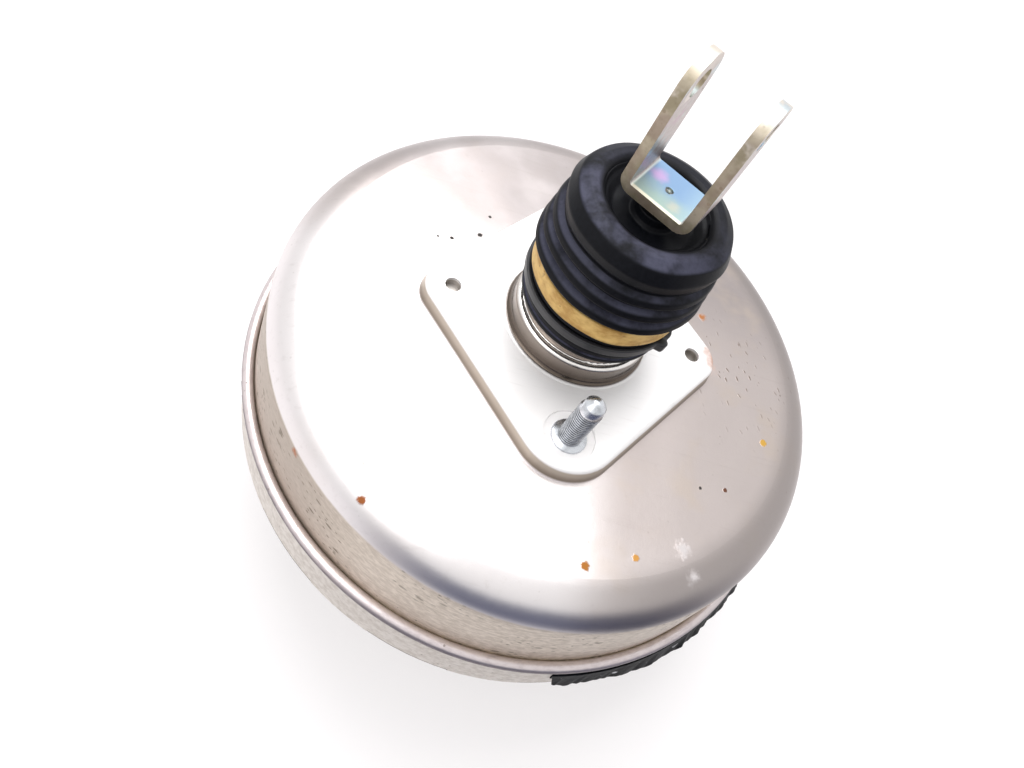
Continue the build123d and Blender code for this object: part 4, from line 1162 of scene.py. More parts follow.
def turned_piece(name: str, outline: Sequence[Point], finish: Finish, columns: int = 160,
                 closed: bool = True,
                 centre: Point = (0.0, 0.0), warp: Optional[Warp] = None) -> bpy.types.Object:
    """A piece turned about an upright line.

    Args:
        name: The piece's name.
        outline: Radius and height of each row, in mm.
        finish: Its finish.
        columns: Points round it.
        closed: Whether the outline closes on itself.
        centre: Where the line stands, in mm.
        warp: Changes radius and height.

    Returns:
        The piece.
    """
    faces = grid_faces(len(outline), columns, closed, True)
    return mesh_piece(name, turned_points(outline, columns, centre, warp), faces, finish)


def dress_nodes(finish: Finish, *nodes: str) -> None:
    """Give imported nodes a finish.

    Args:
        finish: The finish.
        nodes: The nodes' names.
    """
    for name in nodes:
        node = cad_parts[name]
        node.data.materials.clear()
        node.data.materials.append(finish.material())
        log.info("node %s dressed in %s", name, finish.name)


# ------------------------------------------------------------------ studs
@dataclass
class ThreadedStud:
    """A screw stud: plain or rolled collar, thread and point.

    Attributes:
        name: The piece's name.
        node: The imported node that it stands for.
        centres: Where its studs stand, in mm.
        foot_z: Height at which the thread starts.
        tip_z: Height of its point.
        radius: Outer radius of the thread.
        pitch: Rise of one turn.
        head: Radius and two heights of the hidden head.
        shank_r: Radius of the plain shank in the sheet and plate.
        collar: Radius and two heights of the collar, if there is one.
        columns: Points round it.
    """

    name: str
    node: str
    centres: Tuple[Point, ...]
    foot_z: float
    tip_z: float
    radius: float
    pitch: float
    head: Triple
    shank_r: float
    collar: Optional[Triple] = None
    columns: int = 48

    def way(self) -> float:
        """One for a stud that points up, minus one for one that points down."""
        return 1.0 if self.tip_z > self.foot_z else -1.0

    def outline(self) -> List[Point]:
        """The stud's profile from its head to its point.

        Returns:
            Radius and height of each row.
        """
        way = self.way()
        head_r, head_z, head_end_z = self.head
        rows: List[Point] = [(0.01, head_z), (head_r - 0.5, head_z), (head_r, head_z + 0.5 * way),
                             (head_r, head_end_z),
                             (self.shank_r - 0.05, head_end_z)]
        if self.collar:
            collar_r, collar_z, collar_end_z = self.collar
            rows += [(self.shank_r - 0.05, collar_z), (collar_r, collar_z),
                     (collar_r, collar_end_z - 0.4 * way),
                     (collar_r - 0.4, collar_end_z), (self.radius + 0.1, collar_end_z + 0.1 * way)]
        else:
            rows += [(self.shank_r - 0.05, self.foot_z - way * 0.5),
                     (self.radius, self.foot_z - way * 0.2)]
        point = self.radius * 0.86
        span = abs(self.tip_z - self.foot_z)
        plain = self.foot_z + way * (span - POINT_LENGTH)
        step = self.pitch / 6
        count = int(abs(plain - self.foot_z) / step)
        rows += [(self.radius, self.foot_z + way * step * k) for k in range(count + 1)]
        rows += [(point, plain + way * 0.7), (point, self.tip_z - way * 2.9),
                 (point - 0.5, self.tip_z - way * 2.5),
                 (self.radius * 0.38, self.tip_z - way * 0.35), (self.radius * 0.26, self.tip_z),
                 (0.01, self.tip_z)]
        return rows

    def warp(self, turn: np.ndarray, radius: np.ndarray, height: np.ndarray) -> Shifted:
        """Cut the thread.

        Args:
            turn: Angles, in radians.
            radius: Radii, in mm.
            height: Heights, in mm.

        Returns:
            The new radii and heights.
        """
        way = self.way()
        run = (height - self.foot_z) * way
        length = abs(self.tip_z - self.foot_z) - POINT_LENGTH
        phase = (run / self.pitch - turn / (2 * math.pi)) % 1.0
        groove = 1.0 - np.abs(2 * phase - 1.0)
        fade = np.clip(run / 1.2, 0, 1) * np.clip((length - run) / 1.0, 0, 1)
        threaded = (np.abs(radius - self.radius) < 1e-6) & (run >= -1e-6) & (run <= length + 1e-6)
        depth = 0.6 * self.pitch
        return np.where(threaded, radius - depth * fade * np.clip(1.25 * groove - 0.12, 0, 1),
                        radius), height

    def build(self, finish: Finish, body: Body) -> List[bpy.types.Object]:
        """Make the studs and seat them.

        Args:
            finish: Their finish.
            body: The body that they ride on.

        Returns:
            The studs.
        """
        pieces = []
        for number, centre in enumerate(self.centres):
            piece = turned_piece(f"{self.name}_{number + 1}", self.outline(), finish, self.columns,
                                 False, centre, self.warp)
            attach(piece, body.value)
            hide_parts(self.node)
            log.info("piece %s built", piece.name)
            pieces.append(piece)
        return pieces


# ------------------------------------------------------------------ shells
@dataclass
class RearShell:
    """The pressed rear shell, its hidden plate and the two bulkhead studs.

    Attributes:
        stud_pitch_r: The studs' distance from the axis, in mm.
        stud_r: Their radius.
        stud_length: Their height above the bulkhead face.
        shank_r: Radius of their plain shanks in the sheet and plate.
        collar: Radius and height of their collars.
        recess_depth: Depth of the seats pressed round them.
        behind: Depth of the sheet and plate under them.
        head: Radius and height of their hidden heads.
    """

    stud_pitch_r: float = 56.0
    stud_r: float = 5.0
    stud_length: float = 27.5
    shank_r: float = 5.6
    collar: Point = (7.6, 0.8)
    recess_depth: float = 0.9
    behind: float = 5.0
    head: Point = (8.5, 5.0)

    def build(self) -> None:
        """Make the studs with their threads."""
        seat = -self.recess_depth
        studs = ThreadedStud(
            name="bulkhead_stud", node="bulkhead_studs",
            centres=((0.0, self.stud_pitch_r), (0.0, -self.stud_pitch_r)),
            foot_z=seat + self.collar[1] + 0.4, tip_z=self.stud_length, radius=self.stud_r,
            pitch=1.25,
            head=(self.head[0], -self.behind - self.head[1], -self.behind), shank_r=self.shank_r,
            collar=(self.collar[0], seat, seat + self.collar[1]))
        studs.build(BrightSteel("bright_stud_zinc",
                                thread=(self.stud_pitch_r, self.stud_r,
                                        self.stud_length - POINT_LENGTH)), Body.SHELL)

    def dress(self) -> None:
        """Finish the shell and its plate."""
        dress_nodes(ShellSheet("rear_shell_sheet"), "rear_shell")
        dress_nodes(PlainSheet("stud_plate_sheet", paint(190, 186, 182), paint(150, 144, 138)),
                    "stud_plate")


@dataclass
class FrontShell:
    """The deep front shell with its plate, seal and master-cylinder studs.

    Attributes:
        stud_pitch_r: The studs' distance from the axis, in mm.
        stud_r: Their radius.
        shank_r: Radius of their plain shanks in the sheet and plate.
        boss_z: Height of the master-cylinder face.
        stud_length: How far they stand out.
        behind: Depth of the sheet and plate above them.
        head: Radius and height of their hidden heads.
    """

    stud_pitch_r: float = 41.0
    stud_r: float = 4.0
    shank_r: float = 4.6
    boss_z: float = -132.0
    stud_length: float = 24.0
    behind: float = 5.0
    head: Point = (7.5, 4.5)

    def build(self) -> None:
        """Make the studs with their threads."""
        top = self.boss_z + self.behind
        studs = ThreadedStud(
            name="master_cylinder_stud", node="front_studs",
            centres=((0.0, self.stud_pitch_r), (0.0, -self.stud_pitch_r)),
            foot_z=self.boss_z - 0.2, tip_z=self.boss_z - self.stud_length, radius=self.stud_r,
            pitch=1.25,
            head=(self.head[0], top + self.head[1], top), shank_r=self.shank_r)
        studs.build(BrightSteel("front_stud_zinc",
                                thread=(self.stud_pitch_r, self.stud_r,
                                        self.stud_length - self.boss_z - POINT_LENGTH)), Body.SHELL)

    def dress(self) -> None:
        """Finish the shell, plate and seal."""
        dress_nodes(PlainSheet("front_shell_sheet"), "front_shell")
        dress_nodes(PlainSheet("stud_plate_sheet"), "front_plate")
        dress_nodes(Moulding("moulded_seal"), "front_seal", "neck_seal")
        dress_nodes(BrightSteel("turned_steel"), "seal_retainer")


# ------------------------------------------------------------------ torn black sheet: painted shadow on the skirt
@dataclass
class RimShadowFilm:
    """Torn black sheet hung on part of the skirt, standing in for its deep shadow there: a painted
    shadow.

    Attributes:
        start: Where it begins, in degrees from +X.
        end: Where it ends.
        top_z: Height of its upper edge, in mm.
        drop: How far it hangs.
        inside_r: Its radius at the skirt.
        flare: How far its lower edge stands off.
        end_flare: How much farther it stands off where it ends.
        thickness: Its thickness.
        columns: Points along it.
        rows: Points down it.
    """

    start: float = -80.0
    end: float = -24.0
    top_z: float = -61.3
    drop: float = 18.5
    inside_r: float = 132.3
    flare: float = 1.2
    end_flare: float = 6.6
    thickness: float = 0.9
    columns: int = 260
    rows: int = 14

    def uneven(self, draw: np.random.Generator, runs: int, low: float = -1) -> np.ndarray:
        """Random numbers along the film, with straight runs between them.

        Args:
            draw: Where the numbers come from.
            runs: How many straight runs there are.
            low: The least number; the greatest is one.

        Returns:
            One number for each column.
        """
        share = np.linspace(0, 1, self.columns)
        return np.interp(share * runs, np.arange(runs + 1), draw.uniform(low, 1, runs + 1))

    def build(self) -> bpy.types.Object:
        """Make the film as a crumpled closed strip.

        Returns:
            The film.
        """
        draw = np.random.default_rng(FILM_SEED)
        share = np.linspace(0, 1, self.columns)
        turn = np.radians(self.start + (self.end - self.start) * share)
        teeth = self.uneven(draw, FILM_TEETH)
        waves = self.uneven(draw, FILM_WAVES)
        length = self.drop * (0.80 + 0.13 * waves + 0.07 * teeth)
        length *= np.clip(share / 0.035, 0.25, 1) * np.clip((1 - share) / 0.05, 0.2, 1)
        top = self.top_z - 0.5 + 0.5 * self.uneven(draw, FILM_EDGE_RUNS)
        down = np.linspace(0, 1, self.rows)[:, None]
        height = top[None, :] - length[None, :] * down
        crumple = self.uneven(draw, FILM_CRUMPLES, 0)[None, :]
        fold = self.uneven(draw, FILM_FOLDS)[None, :]
        off = self.flare * (0.25 + crumple) * down ** 1.5 + 0.3 * fold * down
        lift = self.end_flare * share[None, :] * down
        inner = self.inside_r + np.clip(off, 0.0, None) + lift
        outer = inner + self.thickness * (1.0 - 0.4 * down)
        rows = ([(inner[i], height[i]) for i in range(self.rows)]
                + [(outer[i], height[i]) for i in range(self.rows - 1, -1, -1)])
        points = np.array([np.stack([r * np.cos(turn), r * np.sin(turn), z], -1) for r, z in rows])
        faces = grid_faces(2 * self.rows, self.columns, True, False)
        for side in (0, self.columns - 1):
            for i in range(self.rows - 1):
                a, b = i, i + 1
                c, d = 2 * self.rows - 1 - b, 2 * self.rows - 1 - a
                ring = (a, b, c, d) if side else (d, c, b, a)
                faces.append(tuple(k * self.columns + side for k in ring))
        # the black sheet is a painted shadow: it stands in for the skirt's deep shadow
        piece = mesh_piece("rim_shadow_film", points.reshape(-1, 3), faces, self.finish())
        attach(piece, Body.SHELL.value)
        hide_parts("rim_film")
        log.info("piece %s built", piece.name)
        return piece

    def finish(self) -> ShadowFilmFinish:
        """The film's finish, with its bare places."""
        bare = []
        for angle, height, reach in ((-79.0, -76.0, 2.6), (-52.0, -70.0, 2.4), (-31.0, -72.0, 2.2),
                                     (-66.0, -71.0, 1.6)):
            a = math.radians(angle)
            radius = self.inside_r + 1.2
            bare.append(Spot(radius * math.cos(a), radius * math.sin(a), height, reach,
                             paint(196, 196, 200)))
        return ShadowFilmFinish("black_shadow_film", tuple(bare))


# ------------------------------------------------------------------ dust boot
@dataclass
class DustBoot:
    """The moulded rubber bellows with its band and tie strap.

    Attributes:
        foot_z: Lower lip of the collar, in mm.
        spigot_r: Radius of the neck inside the collar.
        collar_r: Outer radius of the collar.
        band_z: Lower edge of the band.
        band_h: Height of the band.
        band_t: Thickness of the band.
        strap_z: Lower edge of the strap.
        strap_h: Height of the strap.
        strap_t: Thickness of the strap.
        strap_turn: Direction of the strap's head, in degrees.
        folds: Height of each fold's crest.
        crest_r: Radius of the lowest crest.
        root_r: Radius of the lowest root.
        taper: How much smaller each next fold is.
        roll_r: Radius of the top roll.
        roll_z: Height where the roll is widest.
        wall: Thickness of the rubber.
        top_z: Height of the top roll's ridge.
        recess_r: Radius of the recess's mouth.
        recess_depth: Depth of the recess.
        rod_r: Radius of the push rod.
        lip_rise: Height of the lip round the push rod above the recess floor.
        travel: The power piston's travel.
        dots: Pale flecks and a fleck of rust on the rubber.
    """

    foot_z: float = 17.0
    spigot_r: float = 27.4
    collar_r: float = 31.0
    band_z: float = 31.0
    band_h: float = 8.8
    band_t: float = 1.1
    strap_z: float = 24.8
    strap_h: float = 3.8
    strap_t: float = 1.3
    strap_turn: float = -41.0
    folds: Tuple[float, ...] = (44.8, 51.4, 58.0)
    crest_r: float = 35.3
    root_r: float = 31.2
    taper: float = 0.8
    roll_r: float = 32.4
    roll_z: float = 66.3
    wall: float = 2.2
    top_z: float = 75.0
    recess_r: float = 22.0
    recess_depth: float = 6.8
    rod_r: float = 5.0
    lip_rise: float = 4.6
    travel: float = 28.0
    dots: Tuple[Spot, ...] = field(default_factory=tuple)

    def rubber(self) -> BootRubber:
        """The rubber, with its few pale dots and a fleck of rust."""
        return BootRubber("dusty_rubber_painted_sheen", self.recess_r, self.dots)

    def soft(self, seed: int, size: float, hold_z: float) -> Warp:
        """Unevenness that dies out towards a held edge.

        Args:
            seed: Which unevenness.
            size: How large it is, in mm.
            hold_z: Height at which there is none.

        Returns:
            The change of radius and height.
        """

        def change(turn: np.ndarray, radius: np.ndarray, height: np.ndarray) -> Shifted:
            """Push the surface in and out a little."""
            free = np.clip((height - hold_z) / 6.0, 0, 1)
            sag = ripple(turn, height, seed + 1, reach=0.12) * free * size
            return radius + ripple(turn, height, seed) * free * size, height + 0.7 * sag

        return change

    def collar(self) -> bpy.types.Object:
        """Make the collar that grips the neck.

        Returns:
            The collar.
        """
        top = self.band_z + self.band_h
        r, inner = self.collar_r, self.spigot_r + 0.02
        corners = [(inner, self.foot_z), (r + 0.3, self.foot_z), (r + 0.3, self.foot_z + 2.0),
                   (r - 0.7, self.foot_z + 2.5),
                   (r - 0.7, self.foot_z + 3.1), (r + 0.2, self.foot_z + 3.7),
                   (r + 0.2, self.foot_z + 4.6),
                   (r - 0.1, self.strap_z), (r - 0.1, self.strap_z + self.strap_h),
                   (r + 0.5, self.strap_z + self.strap_h + 0.5),
                   (r + 0.5, self.band_z - 0.9), (r - 0.2, self.band_z - 0.2), (r - 0.1, top),
                   (inner, top)]
        rounds = {1: 0.7, 2: 0.7, 3: 0.3, 4: 0.3, 5: 0.4, 6: 0.4, 9: 0.4, 10: 0.4, 11: 0.3}
        outline = refined(rounded(corners, rounds, 4, True), 2.0, True)
        piece = turned_piece("boot_collar", outline, self.rubber(), 180)
        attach(piece, Body.SHELL.value)
        return piece

    def bellows(self) -> bpy.types.Object:
        """Make the folds and the fat top roll.

        Returns:
            The bellows.
        """
        base = self.band_z + self.band_h
        pitch = self.folds[1] - self.folds[0]
        outer: List[Point] = [(self.collar_r - 0.1, base - 0.2)]
        inner: List[Point] = [(self.collar_r - self.wall, base - 0.2)]
        for number, crest in enumerate(self.folds):
            crest_r, root_r = (self.crest_r - number * self.taper,
                               self.root_r - number * self.taper / 2)
            outer += [(crest_r - 0.1, crest - 1.3), (crest_r - 0.6, crest + 1.3),
                      (root_r, crest + pitch / 2)]
            inner += [(crest_r - self.wall, crest), (root_r - self.wall, crest + pitch / 2)]
        outer += [(self.roll_r - 0.7, self.roll_z - 2.8), (self.roll_r, self.roll_z + 1.4),
                  (self.roll_r - 2.2, self.top_z - 2.2), (self.recess_r + 4.4, self.top_z - 0.2),
                  (self.recess_r + 1.4, self.top_z - 0.1), (self.recess_r - 0.4, self.top_z - 0.9),
                  (self.recess_r - 1.7, self.top_z - 2.8)]
        inner += [(self.roll_r - self.wall - 1.0, self.roll_z - 1.4),
                  (self.roll_r - self.wall - 0.8, self.roll_z + 1.6),
                  (self.roll_r - 4.6, self.top_z - 3.8), (self.recess_r + 1.6, self.top_z - 2.9),
                  (self.recess_r + 0.2, self.top_z - 3.6)]
        count = len(outer)
        rounds = {i: 2.4 for i in range(1, count - 1)}
        rounds.update({3 * k + 3: 0.7 for k in range(len(self.folds))})
        rounds.update({3 * k + 1: 0.9 for k in range(len(self.folds))})
        skin = rounded(outer, rounds, 6)
        lining = rounded(inner, {i: 1.6 for i in range(1, len(inner) - 1)}, 4)
        outline = refined(skin + lining[::-1], 0.9, True)
        piece = turned_piece("boot_bellows", outline, self.rubber(), 220,
                             warp=self.soft(7, 0.22, base))
        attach(piece, Body.SHELL.value)
        base * MM
        1 - self.travel / (self.top_z - base)
        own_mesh(piece)
        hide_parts("dust_boot")
        return piece

    def mouth(self) -> bpy.types.Object:
        """Make the recess wall, its floor and the lip round the push rod.

        Returns:
            The mouth.
        """
        floor = self.top_z - self.recess_depth
        lip = self.rod_r + 0.3
        corners = [(self.recess_r - 0.2, self.top_z - 2.3), (self.recess_r - 1.2, self.top_z - 1.9),
                   (self.recess_r - 2.2, self.top_z - 3.4), (self.recess_r - 3.6, floor + 2.6),
                   (self.recess_r - 6.0, floor + 0.2),
                   (self.rod_r + 4.0, floor), (self.rod_r + 3.0, floor + 1.6),
                   (self.rod_r + 2.7, floor + self.lip_rise),
                   (lip, floor + self.lip_rise), (lip, floor), (self.rod_r + 2.0, floor - 1.6),
                   (self.rod_r + 3.2, floor - 2.3),
                   (self.recess_r - 5.0, floor - 2.1), (self.recess_r - 1.6, floor + 1.4),
                   (self.recess_r - 0.1, self.top_z - 3.4)]
        rounds = {1: 0.4, 2: 1.6, 3: 2.4, 4: 1.6, 5: 1.0, 6: 0.8, 7: 0.8, 8: 0.6, 9: 0.5, 10: 0.8,
                  11: 0.8, 12: 2.4, 13: 2.4}
        outline = refined(rounded(corners, rounds, 6, True), 0.9, True)

        def crease(turn: np.ndarray, radius: np.ndarray, height: np.ndarray) -> Shifted:
            """Wrinkle the recess floor a little, but not its lip or its rim."""
            free = (np.clip((radius - self.rod_r - 3.0) / 4.0, 0, 1)
                    * np.clip((self.recess_r - 2.0 - radius) / 3.0, 0, 1))
            return radius, height + 0.35 * ripple(turn, radius, 19, reach=0.4) * free

        piece = turned_piece("boot_mouth", outline, self.rubber(), 160, warp=crease)
        self.top_z * MM
        floor * MM
        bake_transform(piece)
        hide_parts("dust_boot")
        return piece

    def band(self) -> bpy.types.Object:
        """Make the tape wound round the collar, with its free end.

        Returns:
            The band.
        """
        low, high, r = self.band_z, self.band_z + self.band_h, self.collar_r
        corners = [(r, low), (r + self.band_t - 0.1, low + 0.2), (r + self.band_t, low + 0.8),
                   (r + self.band_t, high - 1.4),
                   (r + self.band_t - 0.2, high - 0.6), (r, high - 0.3)]
        outline = refined(rounded(corners, {1: 0.3, 2: 0.6, 3: 0.6, 4: 0.4}, 3, True), 0.6, True)

        def wound(turn: np.ndarray, radius: np.ndarray, height: np.ndarray) -> Shifted:
            """Crease the tape and let its edges wander."""
            out = np.clip((radius - r) / self.band_t, 0, 1)
            step = 0.14 * ((turn / (2 * math.pi)) % 1.0)
            return (radius + out * (0.12 * ripple(turn, height, 29, 11) + step),
                    height + 0.16 * ripple(turn, height * 0, 31, 12))

        piece = turned_piece("boot_tape", outline, WrappedTape("wrapped_tape", low, high), 240,
                             warp=wound)
        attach(piece, Body.SHELL.value)
        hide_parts("boot_band")
        return piece

    def strap(self) -> bpy.types.Object:
        """Make the tie strap, thicker at its head.

        Returns:
            The strap.
        """
        low, high, r = self.strap_z, self.strap_z + self.strap_h, self.collar_r
        corners = [(r, low), (r + self.strap_t, low), (r + self.strap_t, high), (r, high)]
        outline = refined(rounded(corners, {1: 0.5, 2: 0.5}, 4, True), 0.5, True)

        def head(turn: np.ndarray, radius: np.ndarray, height: np.ndarray) -> Shifted:
            """Raise the head and its cut tail, and let the strap lie unevenly."""
            away = (turn - math.radians(self.strap_turn) + math.pi) % (2 * math.pi) - math.pi
            lump = np.exp(-np.abs(away / math.radians(3.6)) ** 4)
            tail = np.exp(-np.abs((away - math.radians(8.0)) / math.radians(5.0)) ** 4)
            out = np.clip((radius - r) / self.strap_t, 0, 1)
            middle = 0.5 * (low + high)
            taller = 1.0 + 0.22 * lump
            drift = 0.75 * np.sin(turn + 0.8)
            return (radius + out * (0.5 + 2.6 * lump + 0.9 * tail),
                    middle + (height - middle) * taller + drift)

        piece = turned_piece("boot_strap_tie", outline,
                             Moulding("strap_plastic", paint(38, 38, 42), paint(26, 26, 29), 0.5,
                                      0.34),
                             300, warp=head)
        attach(piece, Body.SHELL.value)
        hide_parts("boot_strap")
        return piece

    def build(self) -> None:
        """Make every piece of the boot."""
        for piece in (self.collar(), self.bellows(), self.mouth(), self.band(), self.strap()):
            log.info("piece %s built", piece.name)


# ------------------------------------------------------------------ springs
@dataclass
class CoilSpring:
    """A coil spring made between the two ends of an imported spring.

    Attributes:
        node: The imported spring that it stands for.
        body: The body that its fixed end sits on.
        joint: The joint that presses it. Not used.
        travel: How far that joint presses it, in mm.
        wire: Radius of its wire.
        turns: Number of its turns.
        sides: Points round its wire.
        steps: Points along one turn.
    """

    node: str
    body: Body
    joint: str
    travel: float
    wire: float
    turns: float
    sides: int = 12
    steps: int = 36

    def build(self) -> bpy.types.Object:
        """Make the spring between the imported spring's two ends.

        Returns:
            The spring.
        """
        low, high = (np.array(corner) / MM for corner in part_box(self.node))
        middle = (low + high) / 2
        radius = (high[0] - low[0]) / 2 - self.wire
        count = int(self.steps * self.turns) + 1
        turn = np.linspace(0, 2 * math.pi * self.turns, count)[:, None]
        lap = -np.arange(self.sides)[None, :] * 2 * math.pi / self.sides
        height = np.linspace(low[2] + self.wire, high[2] - self.wire, count)[:, None]
        out = radius + self.wire * np.cos(lap)
        points = np.stack([middle[0] + out * np.cos(turn), middle[1] + out * np.sin(turn),
                           height + self.wire * np.sin(lap)], -1)
        faces: List[Sequence[int]] = list(grid_faces(count, self.sides, False, True))
        faces += [range(self.sides - 1, -1, -1),
                  range((count - 1) * self.sides, count * self.sides)]
        wire = BrightSteel("spring_wire", paint(128, 130, 134), paint(74, 74, 78), 0.7)
        piece = mesh_piece(f"{self.node}_coil", points.reshape(-1, 3), faces, wire)
        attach(piece, self.body.value)
        1 - self.travel / (high[2] - low[2])
        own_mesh(piece)
        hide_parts(self.node)
        log.info("piece %s built", piece.name)
        return piece


# ------------------------------------------------------------------ moving pieces and the elbow
@dataclass
class PedalRod:
    """The push rod and its bent clevis.

    Attributes:
        pin_turn: Direction of the clevis pin, in degrees from +X.
        floor_z: Height of the clevis floor, in mm.
    """

    pin_turn: float = -31.7
    floor_z: float = 80.5

    def dress(self) -> None:
        """Finish the clevis and the rod."""
        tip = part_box("clevis")[1].z / MM
        plating = PassivatedSteel("clevis_plating", self.pin_turn, self.floor_z, tip)
        dress_nodes(plating, "clevis", "push_rod")


@dataclass
class PowerPiston:
    """The valve body with its plate, diaphragm, output rod and inner pieces.

    Attributes:
        stroke: How far brake_stroke presses the return spring, in mm.
        input_travel: How far input_travel presses the two small springs, in mm.
    """

    stroke: float = 28.0
    input_travel: float = 1.5

    def build(self) -> None:
        """Make the springs that the piston and the push rod press."""
        CoilSpring("return_spring", Body.SHELL, "brake_stroke", self.stroke, 2.0, 6.0).build()
        CoilSpring("rod_spring", Body.PISTON, "input_travel", self.input_travel, 0.8, 3.5).build()
        CoilSpring("valve_spring", Body.PISTON, "input_travel", self.input_travel, 0.5, 6.0).build()

    def dress(self) -> None:
        """Finish every hidden piece of the piston."""
        dress_nodes(Moulding("valve_body_plastic", paint(86, 62, 44), paint(64, 46, 34), 0.8, 0.38),
                    "valve_body")
        dress_nodes(PlainSheet("piston_plate_sheet"), "piston_plate")
        dress_nodes(Moulding("moulded_seal"), "diaphragm", "reaction_disc", "valve_rubber")
        dress_nodes(BrightSteel("turned_steel"), "output_rod", "output_tip", "rod_cap", "stop_key",
                    "plunger", "valve_keeper")
        dress_nodes(OpenFoam("open_foam"), "air_filter")
        dress_nodes(OpenFoam("silencer_felt", paint(196, 190, 178), paint(136, 130, 120), 0.6),
                    "silencer")


@dataclass
class VacuumElbow:
    """The check valve's elbow, its cap and what is inside.

    Attributes:
        lift: How far check_lift presses the check valve's spring, in mm.
    """

    lift: float = 1.5

    def build(self) -> None:
        """Make the spring under the check valve's disc."""
        CoilSpring("check_spring", Body.ELBOW, "check_lift", self.lift, 0.4, 4.0).build()

    def dress(self) -> None:
        """Finish the elbow's pieces."""
        dress_nodes(Moulding("elbow_plastic", paint(44, 44, 46), paint(30, 30, 32), 0.7, 0.36),
                    "check_valve")
        dress_nodes(Moulding("cap_plastic", paint(232, 230, 224), paint(214, 211, 204), 0.7, 0.34),
                    "check_cap")
        dress_nodes(Moulding("moulded_seal"), "port_grommet", "check_disc")


# ------------------------------------------------------------------ studio
@dataclass
class Lamp:
    """A soft lamp that faces the booster.

    Attributes:
        name: Its name.
        azimuth: Direction from the booster, in degrees from +X.
        elevation: Height angle, in degrees.
        distance: Distance in metres.
        size: Side of its square, in metres.
        power: Power in watts.
        colour: Colour of its light.
    """

    name: str
    azimuth: float
    elevation: float
    distance: float
    size: float
    power: float
    colour: Triple = (1.0, 1.0, 1.0)

    def hang(self) -> bpy.types.Object:
        """Hang the lamp.

        Returns:
            The lamp.
        """
        data = bpy.data.lights.new(self.name, "AREA")
        data.shape = "SQUARE"
        data.size = self.size
        data.energy = self.power
        data.color = self.colour
        lamp = bpy.data.objects.new(self.name, data)
        a, e = math.radians(self.azimuth), math.radians(self.elevation)
        way = Vector((math.cos(a) * math.cos(e), math.sin(a) * math.cos(e), math.sin(e)))
        lamp.location = way * self.distance
        lamp.rotation_mode = "QUATERNION"
        lamp.rotation_quaternion = way.to_track_quat("Z", "Y")
        bpy.context.scene.collection.objects.link(lamp)
        return lamp


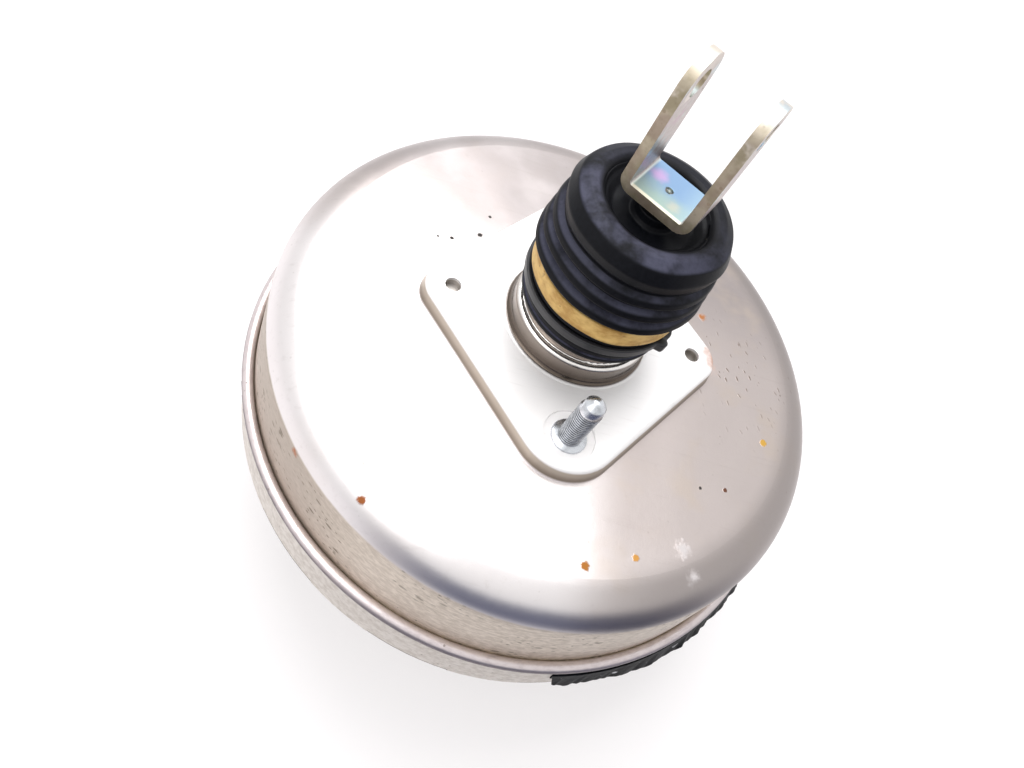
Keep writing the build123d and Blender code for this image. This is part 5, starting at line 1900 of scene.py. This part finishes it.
@dataclass
class Studio:
    """Paper floor, plain light and the camera.

    Attributes:
        floor_z: Height of the floor, in mm.
        floor_side: Side of the floor, in metres.
        eye: The camera's place, in mm.
        swing: The direction it looks from, in degrees from -Y.
        pitch: How steeply it looks down, in degrees.
        roll: How far it leans, in degrees.
        lens: Focal length for a sensor 36 mm wide.
        glow: Brightness of the plain surroundings on matt surfaces.
        dim_swing: Direction of the room's dim side, in degrees from -Y.
        dim: Brightness of that side in reflections.
        lamps: The lamps.
    """

    floor_z: float = -156.2
    floor_side: float = 6.0
    eye: Triple = (-93.692, -205.204, 246.842)
    swing: float = -22.46
    pitch: float = 54.074
    roll: float = 33.668
    lens: float = 27.41
    glow: float = 0.62
    dim_swing: float = 16.0
    dim: Colour = paint(76, 82, 112)
    lamps: Tuple[Lamp, ...] = (
        Lamp("window", 112.0, 66.0, 1.5, 1.1, 22.0),
        Lamp("fill", -150.0, 50.0, 1.6, 1.2, 9.0),
    )

    def floor(self) -> bpy.types.Object:
        """Lay the floor.

        Returns:
            The floor.
        """
        half = self.floor_side / 2 / MM
        corners = np.array([(-half, -half, self.floor_z), (half, -half, self.floor_z),
                            (half, half, self.floor_z),
                            (-half, half, self.floor_z)])
        piece = mesh_piece("paper_floor", corners, [(0, 1, 2, 3)],
                           FloorPaper("white_paper", self.dim_swing))
        return piece

    def surroundings(self) -> None:
        """Light the booster from all round, white to the camera, dim on one side in reflections."""
        world = bpy.data.worlds.new("plain_room")
        bpy.context.scene.world = world
        world.use_nodes = True
        tree = world.node_tree
        tree.nodes.clear()
        sheet = FinishSheet.__new__(FinishSheet)
        sheet.tree = tree
        path = sheet.node("ShaderNodeLightPath")
        ray = {name: Sock(sheet, path.outputs[name]) for name in
               ("Is Camera Ray", "Is Glossy Ray", "Is Transmission Ray")}
        shown = ray["Is Camera Ray"].larger(ray["Is Glossy Ray"]).larger(ray["Is Transmission Ray"])
        way = Sock(sheet, sheet.node("ShaderNodeTexCoord").outputs["Generated"])
        a = math.radians(self.dim_swing - 90)
        towards = (math.cos(a), math.sin(a), 0.0)
        node = sheet.node("ShaderNodeVectorMath", {"operation": "DOT_PRODUCT"},
                          {0: way, 1: towards})
        behind = (Sock(sheet, node.outputs["Value"]).ease(*DIM_FADE)
                  * sheet.parts(way)[2].ease(0.40, 0.06) * ray["Is Glossy Ray"])
        white = paint(255, 255, 255)
        colour = sheet.mix(behind, sheet.mix(shown, (self.glow, self.glow, self.glow, 1.0), white),
                           self.dim)
        room = sheet.node("ShaderNodeBackground", {}, {"Color": colour, "Strength": 1.0})
        sheet.node("ShaderNodeOutputWorld", {}, {"Surface": Sock(sheet, room.outputs[0])})

    def camera(self) -> bpy.types.Object:
        """Place the camera.

        Returns:
            The camera.
        """
        data = bpy.data.cameras.new("camera")
        data.lens = self.lens
        data.sensor_width = SENSOR_WIDTH
        data.clip_start = NEAREST_SEEN
        camera = bpy.data.objects.new("camera", data)
        a, e, lean = (math.radians(v) for v in (self.swing, self.pitch, self.roll))
        back = Vector((math.sin(a) * math.cos(e), -math.cos(a) * math.cos(e), math.sin(e)))
        right = (-back).cross(Vector((0, 0, 1))).normalized()
        up = right.cross(-back)
        side = math.cos(lean) * right + math.sin(lean) * up
        top = -math.sin(lean) * right + math.cos(lean) * up
        aim = Matrix((side, top, back)).transposed().to_4x4()
        camera.matrix_world = Matrix.Translation(Vector(self.eye) * MM) @ aim
        bpy.context.scene.collection.objects.link(camera)
        bpy.context.scene.camera = camera
        return camera

    def build(self) -> None:
        """Set up the whole studio."""
        bpy.context.scene.view_settings.view_transform = "Standard"
        self.floor()
        self.surroundings()
        for lamp in self.lamps:
            lamp.hang()
        self.camera()
        log.info("studio built")


def main() -> None:
    """Build, dress and light the booster."""
    logging.basicConfig(level=logging.INFO, format="%(name)s: %(message)s")
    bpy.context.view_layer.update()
    rear, front = RearShell(), FrontShell()
    rear.build()
    rear.dress()
    front.build()
    front.dress()
    boot = DustBoot(dots=(
        Spot(-18.6, -22.0, 77.5, 1.1, paint(150, 152, 120)),
        Spot(17.0, -25.5, 77.0, 1.0, paint(160, 164, 124)),
        Spot(-21.5, 6.5, 77.5, 1.5, paint(150, 70, 48), 1.2),
    ))
    boot.build()
    # black sheet on the skirt: a painted shadow
    RimShadowFilm().build()
    PedalRod().dress()
    piston, elbow = PowerPiston(), VacuumElbow()
    piston.build()
    piston.dress()
    elbow.build()
    elbow.dress()
    Studio().build()


if __name__ == "__main__":
    main()
